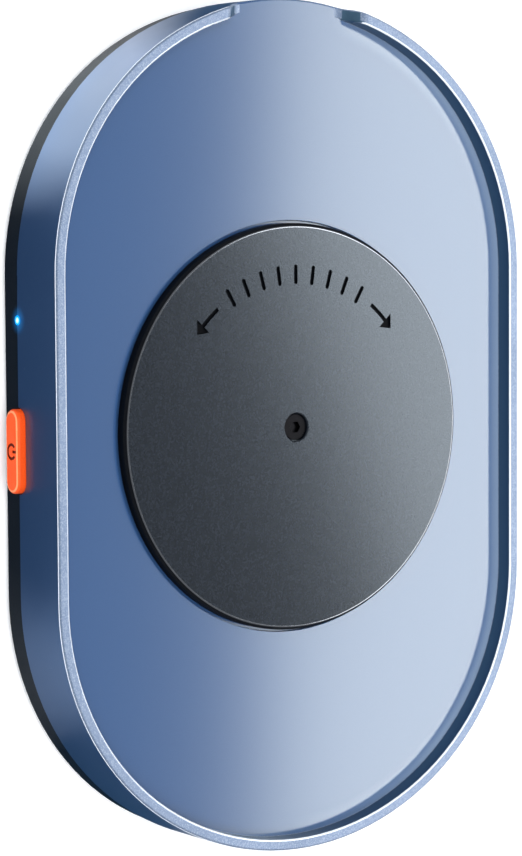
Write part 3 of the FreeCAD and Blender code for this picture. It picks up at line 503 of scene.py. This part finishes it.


# Power button: a satin orange moulding with rounded edges, its power sign sunk into the face, and a paler
# band painted on the rounded edge next to the face as a painted highlight. It slides in through the wall, and
# its flange behind the wall stops it.
BUTTON_ORANGE = (0.9, 0.078, 0.007)
BUTTON_PALE = (0.97, 0.11, 0.014)
BEVEL_PAINTED_HIGHLIGHT = (1.0, 0.3, 0.12)
SIGN_DARK = (0.16, 0.012, 0.004)
BUTTON_EDGE = 0.5 * MM
BUTTON_FLANGE = 0.8 * MM
BUTTON_FLANGE_LIP = 0.6 * MM
END_STEPS = 24
EDGE_STEPS = 5
HIGHLIGHT_BANDS = 2
SIGN_RADIUS = 1.0 * MM
SIGN_WIDTH = 0.4 * MM
SIGN_GAP = math.radians(38)
SIGN_DEPTH = 0.18 * MM
SIGN_STEPS = 28
SIGN_BAR = 0.95 * MM
SIGN_BAR_START = 0.25 * MM
SIGN_SLOT, HIGHLIGHT_SLOT = 1, 2

button_low, button_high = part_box("power_button")
button_middle = (button_low + button_high) / 2
button_half = (button_high.y - button_low.y) / 2 - BUTTON_FLANGE_LIP
button_round = (button_high.z - button_low.z) / 2 - BUTTON_FLANGE_LIP


def slot_points(inset, depth):
    """The button's outline, drawn in by the inset, at a depth behind its face."""
    rounding = button_round - inset
    straight = button_half - button_round
    points = []
    for side in (1, -1):
        for step in range(END_STEPS + 1):
            turn = math.pi * (step / END_STEPS - 0.5)
            points.append((button_low.x + depth,
                           button_middle.y + side * (straight + rounding * math.cos(turn)),
                           button_middle.z + side * rounding * math.sin(turn)))
    return points


def band(form, first, second):
    """Faces between two rings of the same outline, edge against edge."""
    return [form.faces.new((*near.verts, far.verts[1], far.verts[0])) for near, far in zip(first, second)]


def ring_points():
    """The sign's open ring, across and up on the button's face, whose gap faces up."""
    start = math.pi / 2 + SIGN_GAP
    sweep = 2 * (math.pi - SIGN_GAP)
    turns = [start + sweep * step / SIGN_STEPS for step in range(SIGN_STEPS + 1)]
    outer, inner = SIGN_RADIUS + SIGN_WIDTH / 2, SIGN_RADIUS - SIGN_WIDTH / 2
    return ([(outer * math.cos(turn), outer * math.sin(turn)) for turn in turns]
            + [(inner * math.cos(turn), inner * math.sin(turn)) for turn in reversed(turns)])


def bar_points():
    """The sign's bar, which stands in the ring's gap."""
    half = SIGN_WIDTH / 2
    end = SIGN_BAR_START + SIGN_BAR
    return [(half, SIGN_BAR_START), (half, end), (-half, end), (-half, SIGN_BAR_START)]


form = bmesh.new()
mesh = bpy.data.meshes.new("power_key")
flange_depth = button_high.x - button_low.x - BUTTON_FLANGE
bends = [math.pi / 2 * step / EDGE_STEPS for step in range(EDGE_STEPS + 1)]
stations = [(BUTTON_EDGE * (1 - math.sin(bend)), BUTTON_EDGE * (1 - math.cos(bend))) for bend in bends]
stations += [(0, flange_depth), (-BUTTON_FLANGE_LIP, flange_depth),
             (-BUTTON_FLANGE_LIP, flange_depth + BUTTON_FLANGE)]
loops = [closed_loop(form, slot_points(inset, depth)) for inset, depth in stations]
# The two bands of the rounded edge next to the face get the painted highlight.
for order, (first, second) in enumerate(zip(loops, loops[1:])):
    for face in band(form, first, second):
        face.material_index = HIGHLIGHT_SLOT if order < HIGHLIGHT_BANDS else 0
fill(form, loops[-1])
sign = [[(button_low.x, button_middle.y + across, button_middle.z + up) for across, up in points]
        for points in (ring_points(), bar_points())]
brims = [closed_loop(form, points) for points in sign]
fill(form, loops[0], *brims)
for brim in brims:
    for face in sink(form, brim, (SIGN_DEPTH, 0, 0)):
        face.material_index = SIGN_SLOT
finish_mesh(form, mesh)
key = link(mesh, "power_key")
for material in (moulded("button_orange", BUTTON_ORANGE, BUTTON_PALE, roughness=0.38, depth=MOULD_DEPTH / 3,
                         shine=0.3),
                 moulded("button_sign", SIGN_DARK, SIGN_DARK, roughness=0.5, shine=0.2),
                 moulded("button_painted_highlight", BEVEL_PAINTED_HIGHLIGHT, BEVEL_PAINTED_HIGHLIGHT, roughness=0.3, depth=MOULD_DEPTH / 4,
                         shine=0.6)):
    key.data.materials.append(material)
stand_for(key, "power_button", "button")


# Lamp: a clear moulded pin through the wall, lit from behind in cyan with a white core. Its light on the wall
# and the base close round it is painted there as a faint cyan glow in their materials.
LAMP_CYAN = (0.0, 0.23, 0.7)
LAMP_WHITE = (0.5, 0.88, 1.0)
LAMP_GLOW = 2.0
LAMP_CORE = 0.1 * MM
LAMP_RIM = 0.5 * MM
LAMP_ROUGHNESS = 0.2
HALO_REACH = 2.4 * MM
HALO_FALL = 1.9
HALO_GLOW = 1.0

lamp_low, lamp_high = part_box("light_pipe")
lamp_middle = (lamp_low + lamp_high) / 2


def lamp_reach(tree, place):
    """How far a point lies from the pin's outer end."""
    return add(tree, "ShaderNodeVectorMath", {0: place, 1: (lamp_low.x, lamp_middle.y, lamp_middle.z)},
               operation="DISTANCE").outputs["Value"]


def lit_pin(name):
    """Light fades from the pin's axis to its skin."""
    material, tree, shader, place = new_material(name)
    core = spread(tree, lamp_reach(tree, place), 1, 0, LAMP_CORE / 2, LAMP_RIM)
    colour = blend_colours(tree, core, LAMP_CYAN, LAMP_WHITE)
    feed(tree, shader, Base_Color=colour, Emission_Color=colour, Roughness=LAMP_ROUGHNESS,
         Emission_Strength=spread(tree, core, LAMP_GLOW / 2, LAMP_GLOW))
    return material


def wear(material, *nodes):
    """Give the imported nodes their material."""
    for node in nodes:
        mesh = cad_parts[node].data
        mesh.materials.clear()
        mesh.materials.append(material)


def painted_halo(material):
    """A painted glow: the lamp's light on the wall round it, as emission that fades with the distance from
    the pin.
    """
    tree = material.node_tree
    place = add(tree, "ShaderNodeTexCoord").outputs["Object"]
    near = spread(tree, lamp_reach(tree, place), 1, 0, 0, HALO_REACH)
    glow = add(tree, "ShaderNodeMath", {0: near, 1: HALO_FALL}, operation="POWER").outputs["Value"]
    feed(tree, tree.nodes["Principled BSDF"], Emission_Color=LAMP_CYAN,
         Emission_Strength=spread(tree, glow, 0, HALO_GLOW))


wear(lit_pin("lamp_lit"), "light_pipe")
painted_halo(shell.data.materials["case_wall"])
painted_halo(base.data.materials["base_black"])


# Metal parts: ground steel pins, the drawn and plated motor can, zinc screws, sintered bushes and
# the turned brass pinion, all inside the closed case, and black oxide screws in base and disc.
STEEL = (0.56, 0.57, 0.58)
STEEL_PALE = (0.7, 0.7, 0.71)
NICKEL = (0.6, 0.6, 0.58)
ZINC = (0.5, 0.51, 0.54)
BRONZE = (0.42, 0.25, 0.12)
BRONZE_PALE = (0.55, 0.36, 0.19)
BRASS = (0.6, 0.42, 0.16)
BRASS_PALE = (0.72, 0.53, 0.24)
OXIDE_BLACK = (0.003, 0.003, 0.0035)
OXIDE_GREY = (0.008, 0.008, 0.009)
WAVE_LENGTH = 2 * math.pi / 20
LATHE_PITCH = 0.2262 * MM
LATHE_DEPTH = BLAST_DEPTH / 3
LATHE_SWING = 0.06
LATHE_WAVER = 1.5
LATHE_DETAIL = 2
PORE_GRAIN = 0.15 * MM


def turned_metal(name, dark, pale, roughness):
    """Turned or drawn metal with fine rings round the upright axis; the wave texture has one wave
    in each wave length at scale one."""
    material, tree, shader, place = new_material(name)
    rings = add(tree, "ShaderNodeTexWave", {"Vector": place, "Scale": WAVE_LENGTH / LATHE_PITCH,
                                            "Distortion": LATHE_WAVER, "Detail": LATHE_DETAIL},
                wave_type="BANDS", bands_direction="Z").outputs["Fac"]
    pores = speckle(tree, place, PORE_GRAIN)
    feed(tree, shader, Metallic=1.0, Base_Color=blend_colours(tree, pores, dark, pale),
         Roughness=spread(tree, rings, roughness - LATHE_SWING, roughness + LATHE_SWING))
    roughen(tree, shader, rings, LATHE_DEPTH)
    return material


plated = turned_metal("can_steel", NICKEL, STEEL_PALE, roughness=0.3)
zinc = turned_metal("screw_steel", ZINC, STEEL, roughness=0.35)
black_oxide = turned_metal("screw_black", OXIDE_BLACK, OXIDE_GREY, roughness=0.5)
wear(turned_metal("steel", STEEL, STEEL_PALE, roughness=0.25), "spindle_pin", "idler_pin", "rotor_shaft")
wear(plated, "motor_can", "motor_flange")
wear(turned_metal("bush_bronze", BRONZE, BRONZE_PALE, roughness=0.45), "spindle_bush", "motor_bush")
wear(zinc, "motor_screws", "board_screws")
wear(turned_metal("pinion_brass", BRASS, BRASS_PALE, roughness=0.3), "motor_pinion")
wear(black_oxide, "case_screws")
screw = softened_copy("disc_screw", "socket_screw", EDGE_SOFTNESS)
screw.data.materials.append(black_oxide)
stand_for(screw, "disc_screw", "turntable")


# Plastics and windings inside the case: moulded acetal gears, nylon washer and terminal, bonded
# ferrite magnet, sleeved lead, enamelled wire on the coil and the printed circuit board.
ACETAL = (0.72, 0.71, 0.66)
ACETAL_PALE = (0.8, 0.79, 0.75)
NYLON = (0.66, 0.65, 0.6)
MAGNET_GREY = (0.05, 0.05, 0.055)
MAGNET_PALE = (0.04, 0.04, 0.045)
LEAD_GREY = (0.08, 0.08, 0.085)
LEAD_DARK = (0.02, 0.02, 0.022)
BOARD_GREEN = (0.008, 0.06, 0.025)
BOARD_PALE = (0.02, 0.13, 0.05)
BOARD_ROUGHNESS = (0.22, 0.35)
BOARD_COAT = 0.5
TRACK_FIELD = 1.3 * MM
TRACK_SHARE = 0.12
TRACK_DARK = (0, 0, 0, 1)
TRACK_DIM = (0.2, 0.2, 0.2, 1)
TRACK_LIGHT = (1, 1, 1, 1)
COPPER = (0.45, 0.16, 0.06)
WIRE_PITCH = 0.377 * MM
WIRE_DEPTH = 0.05 * MM
WIRE_WAVER = 0.4
WIRE_METAL = 0.8
WIRE_ROUGHNESS = (0.45, 0.28)


def laminate(name):
    """Solder mask over copper tracks that run along and across the board."""
    material, tree, shader, place = new_material(name)
    tracks = add(tree, "ShaderNodeTexBrick", {"Vector": place, "Scale": 1 / TRACK_FIELD,
                                              "Mortar Size": TRACK_SHARE, "Mortar": TRACK_LIGHT,
                                              "Color1": TRACK_DARK, "Color2": TRACK_DIM}).outputs["Color"]
    feed(tree, shader, Base_Color=blend_colours(tree, tracks, BOARD_GREEN, BOARD_PALE),
         Roughness=spread(tree, speckle(tree, place, CLOUD_GRAIN), *BOARD_ROUGHNESS), Coat_Weight=BOARD_COAT)
    roughen(tree, shader, tracks, MOULD_DEPTH)
    return material


def winding(name):
    """Enamelled wire laid in close turns up the bobbin."""
    material, tree, shader, place = new_material(name)
    turns = add(tree, "ShaderNodeTexWave", {"Vector": place, "Scale": WAVE_LENGTH / WIRE_PITCH,
                                            "Distortion": WIRE_WAVER},
                wave_type="BANDS", bands_direction="Z").outputs["Fac"]
    feed(tree, shader, Metallic=WIRE_METAL, Base_Color=blend_colours(tree, turns, MARK_DARK, COPPER),
         Roughness=spread(tree, turns, *WIRE_ROUGHNESS))
    roughen(tree, shader, turns, WIRE_DEPTH)
    return material


nylon = moulded("plug_white", NYLON, ACETAL, roughness=0.5, depth=MOULD_DEPTH / 2)
acetal = moulded("gear_white", ACETAL, ACETAL_PALE, roughness=0.4, depth=MOULD_DEPTH / 3)
wear(acetal, "turntable_gear", "idler_gear")
wear(nylon, "thrust_washer", "motor_terminal")
wear(moulded("magnet_grey", MAGNET_GREY, MAGNET_PALE, roughness=0.55, grain=PORE_GRAIN), "rotor_magnet")
wear(moulded("lead_grey", LEAD_GREY, LEAD_DARK, roughness=0.5), "motor_lead")
wear(laminate("board_green"), "circuit_board")
wear(winding("coil_copper"), "motor_coil")


# Control chip: a black moulded package on two rows of gull-wing leads, soldered to the board, with
# a dimple by its first lead.
CHIP_BLACK = (0.015, 0.015, 0.017)
CHIP_GREY = (0.04, 0.04, 0.045)
CHIP_EDGE = 0.08 * MM
CHIP_LIFT = 0.1 * MM
CHIP_LEADS = 8
LEAD_PITCH = 0.65 * MM
LEAD_WIDTH = 0.3 * MM
LEAD_THICKNESS = 0.12 * MM
LEAD_SPAN = 1.0 * MM
LEAD_KNEE = 0.35
LEAD_HEEL = 0.5
LEAD_BEND = 0.1
DIMPLE_RADIUS = 0.4 * MM
DIMPLE_DEPTH = 0.06 * MM
DIMPLE_STEPS = 24
DIMPLE_PLACE = 1.0 * MM
DETAIL_SLOT = 1


def block(form, low, high):
    """A box between two corners."""
    size = Vector(high) - Vector(low)
    middle = (Vector(high) + Vector(low)) / 2
    stretch = Matrix.Translation(middle) @ Matrix.Diagonal((*size, 1))
    return bmesh.ops.create_cube(form, size=1, matrix=stretch)["verts"]


def edges_of(verts):
    """The edges of the points, each once."""
    return list(dict.fromkeys(edge for vert in verts for edge in vert.link_edges))


def round_edges(form, verts, softness):
    """Round every edge between the points."""
    bmesh.ops.bevel(form, geom=edges_of(verts), offset=softness, offset_type="OFFSET", affect="EDGES",
                    segments=EDGE_CUTS, profile=0.5, material=-1)


def show(form, name, node, body, slot, *materials):
    """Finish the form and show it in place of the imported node."""
    mesh = bpy.data.meshes.new(name)
    finish_mesh(form, mesh)
    piece = link(mesh, name)
    for material in materials:
        piece.data.materials.append(material)
    stand_for(piece, node, body)


chip_low, chip_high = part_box("control_chip")
chip_middle = (chip_low + chip_high) / 2
chip_half = chip_high.x - chip_middle.x - LEAD_SPAN
form = bmesh.new()
package = block(form, (chip_middle.x - chip_half, chip_low.y, chip_low.z + CHIP_LIFT),
                (chip_middle.x + chip_half, chip_high.y, chip_high.z))
round_edges(form, package, CHIP_EDGE)
top = max(form.faces, key=lambda face: face.calc_center_median().z)
bmesh.ops.delete(form, geom=[top], context="FACES_ONLY")
border = [edge for edge in form.edges if edge.is_boundary]
dimple = Vector((chip_middle.x - chip_half + DIMPLE_PLACE, chip_high.y - DIMPLE_PLACE, chip_high.z))
brim = edges_of(bmesh.ops.create_circle(form, cap_ends=False, radius=DIMPLE_RADIUS, segments=DIMPLE_STEPS,
                                        matrix=Matrix.Translation(dimple))["verts"])
fill(form, border, brim)
sink(form, brim, (0, 0, -DIMPLE_DEPTH))
waist = (chip_low.z + CHIP_LIFT + chip_high.z) / 2
foot_top = chip_low.z + LEAD_THICKNESS
lead = ((0, waist), (LEAD_KNEE, waist), (LEAD_HEEL, foot_top), (1, foot_top), (1, chip_low.z),
        (LEAD_HEEL - LEAD_BEND, chip_low.z), (LEAD_KNEE - LEAD_BEND, waist - LEAD_THICKNESS),
        (0, waist - LEAD_THICKNESS))
for side in (-1, 1):
    for number in range(CHIP_LEADS):
        start = chip_middle.y + (number - (CHIP_LEADS - 1) / 2) * LEAD_PITCH - LEAD_WIDTH / 2
        corners = [form.verts.new((chip_middle.x + side * (chip_half + share * LEAD_SPAN), start, up))
                   for share, up in lead]
        grown = bmesh.ops.extrude_face_region(form, geom=[form.faces.new(corners)])["geom"]
        bmesh.ops.translate(form, vec=(0, LEAD_WIDTH, 0), verts=only(bmesh.types.BMVert, grown))
for face in form.faces:
    if abs(face.calc_center_median().x - chip_middle.x) > chip_half + SAME_PLACE:
        face.material_index = DETAIL_SLOT
chip = moulded("chip_black", CHIP_BLACK, CHIP_GREY, roughness=0.5)
show(form, "gull_wing_chip", "control_chip", "case", "chip_black", chip, zinc)


# Charging socket: a drawn and plated shell with a black tongue inside, whose two faces carry rows
# of gold contacts. It sits behind the opening in the end wall.
TONGUE_EDGE = 0.1 * MM
PAD_COUNT = 12
PAD_PITCH = 0.5 * MM
PAD_WIDTH = 0.27 * MM
PAD_LENGTH = 3.6 * MM
PAD_INSET = 0.5 * MM
PAD_HEIGHT = 0.02 * MM
GOLD = (0.72, 0.5, 0.18)
GOLD_PALE = (0.85, 0.63, 0.3)

socket = softened_copy("usb_socket", "socket_shell", EDGE_SOFTNESS)
socket.data.materials.append(plated)
stand_for(socket, "usb_socket", "case")

tongue_low, tongue_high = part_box("usb_tongue")
form = bmesh.new()
slab = block(form, tongue_low + Vector((0, 0, PAD_HEIGHT)), tongue_high - Vector((0, 0, PAD_HEIGHT)))
round_edges(form, slab, TONGUE_EDGE)
for bottom in (tongue_low.z, tongue_high.z - 2 * PAD_HEIGHT):
    for number in range(PAD_COUNT):
        start = (number - (PAD_COUNT - 1) / 2) * PAD_PITCH - PAD_WIDTH / 2
        pad = block(form, (start, tongue_high.y - PAD_INSET - PAD_LENGTH, bottom),
                    (start + PAD_WIDTH, tongue_high.y - PAD_INSET, bottom + 2 * PAD_HEIGHT))
        for face in {face for vert in pad for face in vert.link_faces}:
            face.material_index = DETAIL_SLOT
show(form, "contact_tongue", "usb_tongue", "case", "chip_black", chip,
     turned_metal("contact_gold", GOLD, GOLD_PALE, roughness=0.25))


# Motor plug: a natural nylon housing on the board, open above each of its four contacts, in
# which the motor's lead ends.
PLUG_EDGE = 0.15 * MM
PLUG_WAYS = 4
WAY_PITCH = 1.25 * MM
WAY_WIDTH = 0.7 * MM
WAY_LENGTH = 1.6 * MM
WAY_DEPTH = 0.7 * MM

plug_low, plug_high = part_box("motor_plug")
plug_middle = (plug_low + plug_high) / 2


def cut_across(form, place, way):
    """Cut every face by the plane at a place along one way: 0 for X, 1 for Y."""
    point = Vector((0, 0, 0))
    point[way] = place
    facing = Vector((1 - way, way, 0))
    geometry = form.verts[:] + form.edges[:] + form.faces[:]
    bmesh.ops.bisect_plane(form, geom=geometry, plane_co=point, plane_no=facing)


def is_way(face):
    """Whether a face of the cut housing lies over one of the contacts."""
    middle = face.calc_center_median()
    across = (middle.x - plug_middle.x) / WAY_PITCH + (PLUG_WAYS - 1) / 2
    return (middle.z > plug_high.z - SAME_PLACE and abs(middle.y - plug_middle.y) < WAY_LENGTH / 2
            and abs(across - round(across)) < WAY_WIDTH / 2 / WAY_PITCH and 0 <= round(across) < PLUG_WAYS)


form = bmesh.new()
round_edges(form, block(form, plug_low, plug_high), PLUG_EDGE)
for number in range(PLUG_WAYS):
    for side in (-1, 1):
        middle = plug_middle.x + (number - (PLUG_WAYS - 1) / 2) * WAY_PITCH
        cut_across(form, middle + side * WAY_WIDTH / 2, 0)
for side in (-1, 1):
    cut_across(form, plug_middle.y + side * WAY_LENGTH / 2, 1)
ways = [face for face in form.faces if is_way(face)]
sunk = bmesh.ops.extrude_discrete_faces(form, faces=ways)["faces"]
bmesh.ops.translate(form, vec=(0, 0, -WAY_DEPTH), verts=[vert for face in sunk for vert in face.verts])
for face in sunk:
    face.material_index = DETAIL_SLOT
show(form, "plug_housing", "motor_plug", "case", "plug_white", nylon, zinc)


# Status diode: a white package soldered at the board's edge, which shines into the clear pin
# through a window in its side.
LED_WHITE = (0.85, 0.86, 0.84)
DIODE_EDGE = 0.1 * MM
WINDOW_FRAME = 0.3 * MM
WINDOW_DEPTH = 0.15 * MM

form = bmesh.new()
round_edges(form, block(form, *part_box("status_led")), DIODE_EDGE)
window = min(form.faces, key=lambda face: face.calc_center_median().x)
bmesh.ops.inset_region(form, faces=[window], thickness=WINDOW_FRAME, depth=-WINDOW_DEPTH,
                       use_even_offset=True)
window.material_index = DETAIL_SLOT
show(form, "diode_package", "status_led", "case", "led_white",
     moulded("led_white", LED_WHITE, ACETAL_PALE, roughness=0.3, depth=MOULD_DEPTH / 4),
     lit_pin("window_lit"))


# Button switch: a black tact switch soldered at the board's edge, and its moulded plunger, which
# the button pushes in.
SWITCH_EDGE = 0.12 * MM
PLUNGER_EDGE = 0.2 * MM

switch = softened_copy("tact_switch", "switch_body", SWITCH_EDGE)
switch.data.materials.append(chip)
stand_for(switch, "tact_switch", "case")
form = bmesh.new()
round_edges(form, block(form, *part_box("switch_plunger")), PLUNGER_EDGE)
show(form, "switch_stem", "switch_plunger", "button", "plunger_black", chip)


# Feet: four round pads of matt silicone rubber, moulded with soft edges and stuck under the base,
# two towards each end.
RUBBER = (0.02, 0.02, 0.022)
RUBBER_WORN = (0.045, 0.045, 0.05)
FOOT_EDGE = 0.16 * MM
RUBBER_DEPTH = 0.016 * MM

feet = softened_copy("rubber_feet", "feet", FOOT_EDGE)
feet.data.materials.append(moulded("foot_rubber", RUBBER, RUBBER_WORN, roughness=0.75, depth=RUBBER_DEPTH,
                                   grain=BLAST_GRAIN))
stand_for(feet, "rubber_feet", "case")


# Studio: a pale floor, one broad soft panel low on the far side, set once for the disc and once for
# the rest so that its reflection fades across each, two weaker panels and a weak even sky.
FLOOR_PALE = (0.93, 0.935, 0.945)
FLOOR_SIZE = 4.0
FLOOR_MATT = 0.7
FLOOR_GLINT = 0.2
FLOOR_LIFT = 0.2
SKY = (0.93, 0.96, 1.0)
SKY_STRENGTH = 0.55
PANEL_DISTANCE = 1.2

bpy.ops.mesh.primitive_plane_add(size=FLOOR_SIZE, location=(0, 0, 0))
floor = bpy.context.object
floor.name = "floor"
material, tree, shader, place = new_material("floor_pale")
feed(tree, shader, Base_Color=FLOOR_PALE, Roughness=FLOOR_MATT, Specular_IOR_Level=FLOOR_GLINT,
     Emission_Color=SKY, Emission_Strength=FLOOR_LIFT)
floor.data.materials.append(material)

world = bpy.data.worlds.new("sky")
world.use_nodes = True
world.node_tree.nodes["Background"].inputs["Color"].default_value = (*SKY, 1)
world.node_tree.nodes["Background"].inputs["Strength"].default_value = SKY_STRENGTH
bpy.context.scene.world = world


def soft_light(name, turn, rise, width, height, power, roll=0):
    """A soft panel that faces the tray; its turn round +Z from +X, rise and roll are in degrees."""
    lamp = bpy.data.lights.new(name, "AREA")
    lamp.shape = "RECTANGLE"
    lamp.size = width
    lamp.size_y = height
    lamp.energy = power
    panel = bpy.data.objects.new(name, lamp)
    turn = math.radians(turn)
    rise = math.radians(rise)
    towards = Vector((math.cos(turn) * math.cos(rise), math.sin(turn) * math.cos(rise), math.sin(rise)))
    panel.location = PANEL_DISTANCE * towards
    facing = towards.to_track_quat("Z", "Y").to_matrix() @ Matrix.Rotation(math.radians(roll), 3, "Z")
    panel.rotation_euler = facing.to_euler()
    bpy.context.scene.collection.objects.link(panel)
    return panel


def light_only(panel, name, pieces, state):
    """Let the panel light just the pieces, or all but the pieces."""
    group = bpy.data.collections.new(name)
    for piece in pieces:
        group.objects.link(piece)
    panel.light_linking.receiver_collection = group
    for entry in group.collection_objects:
        entry.light_linking.link_state = state


far_panel = soft_light("far_panel", turn=0, rise=43.5, width=1.5, height=0.49, power=23, roll=-1.2)
disc_panel = soft_light("disc_panel", turn=0, rise=42.3, width=1.5, height=0.49, power=23, roll=18)
near_panel = soft_light("near_panel", turn=180, rise=60, width=1.2, height=0.4, power=8)
over_panel = soft_light("over_panel", turn=0, rise=90, width=1.6, height=1.6, power=14)
light_only(far_panel, "all_but_disc", [disc, screw], "EXCLUDE")
light_only(disc_panel, "only_disc", [disc, screw], "INCLUDE")
for panel in (far_panel, disc_panel):
    panel.visible_diffuse = False
for panel in (near_panel, over_panel):
    panel.visible_glossy = False


# Cards: sheets on the studio floor that only reflections see, one above another, each faded
# towards its edge, with one colour along the foot of the case's end and another beyond it.
CARD_BLACK = (0.005, 0.005, 0.005)
CARD_BLUE = (0.0, 0.4, 1.0)
CARD_WARM = (1.0, 0.95, 0.86)
CARD_COOL = (0.88, 0.95, 1.0)
CARD_DIM = 0.12
CARD_BRIGHT = 1.8
CARD_FADE = (0.2, 0.5)
CARD_LIFT = 0.4 * MM
CARD_STEP = 0.05 * MM
FOOT_STRIP = (43.5 * MM, 47 * MM)
CARDS = (("dark_card", (-50 * MM, 6 * MM), (70 * MM, 140 * MM), CARD_DIM, CARD_BLUE, CARD_BLUE),
         ("low_card", (-28 * MM, -59 * MM), (70 * MM, 64 * MM), CARD_DIM, CARD_BLUE, CARD_BLUE),
         ("light_card", (-36.5 * MM, 52 * MM), (31 * MM, 43 * MM), CARD_BRIGHT, CARD_COOL, CARD_WARM),
         ("high_card", (-5 * MM, 72 * MM), (45 * MM, 38 * MM), CARD_DIM, CARD_BLUE, CARD_BLUE))

for order, (name, middle, size, glow, near, far) in enumerate(CARDS):
    bpy.ops.mesh.primitive_plane_add(size=1, location=(*middle, CARD_LIFT + order * CARD_STEP))
    sheet = bpy.context.object
    sheet.name = name
    sheet.scale = (*size, 1)
    material, tree, shader, place = new_material(name)
    reach = add(tree, "ShaderNodeVectorMath", {0: place}, operation="LENGTH").outputs["Value"]
    spot = add(tree, "ShaderNodeNewGeometry").outputs["Position"]
    away = add(tree, "ShaderNodeVectorMath", {0: spot, 1: (0, STRAIGHT_HALF, 0)}, operation="DISTANCE")
    colour = blend_colours(tree, spread(tree, away.outputs["Value"], 0, 1, *FOOT_STRIP), near, far)
    feed(tree, shader, Base_Color=CARD_BLACK, Roughness=1.0, Emission_Color=colour, Emission_Strength=glow,
         Alpha=spread(tree, reach, 1, 0, *CARD_FADE))
    sheet.data.materials.append(material)
    for unseen in ("visible_camera", "visible_diffuse", "visible_shadow", "visible_transmission"):
        setattr(sheet, unseen, False)
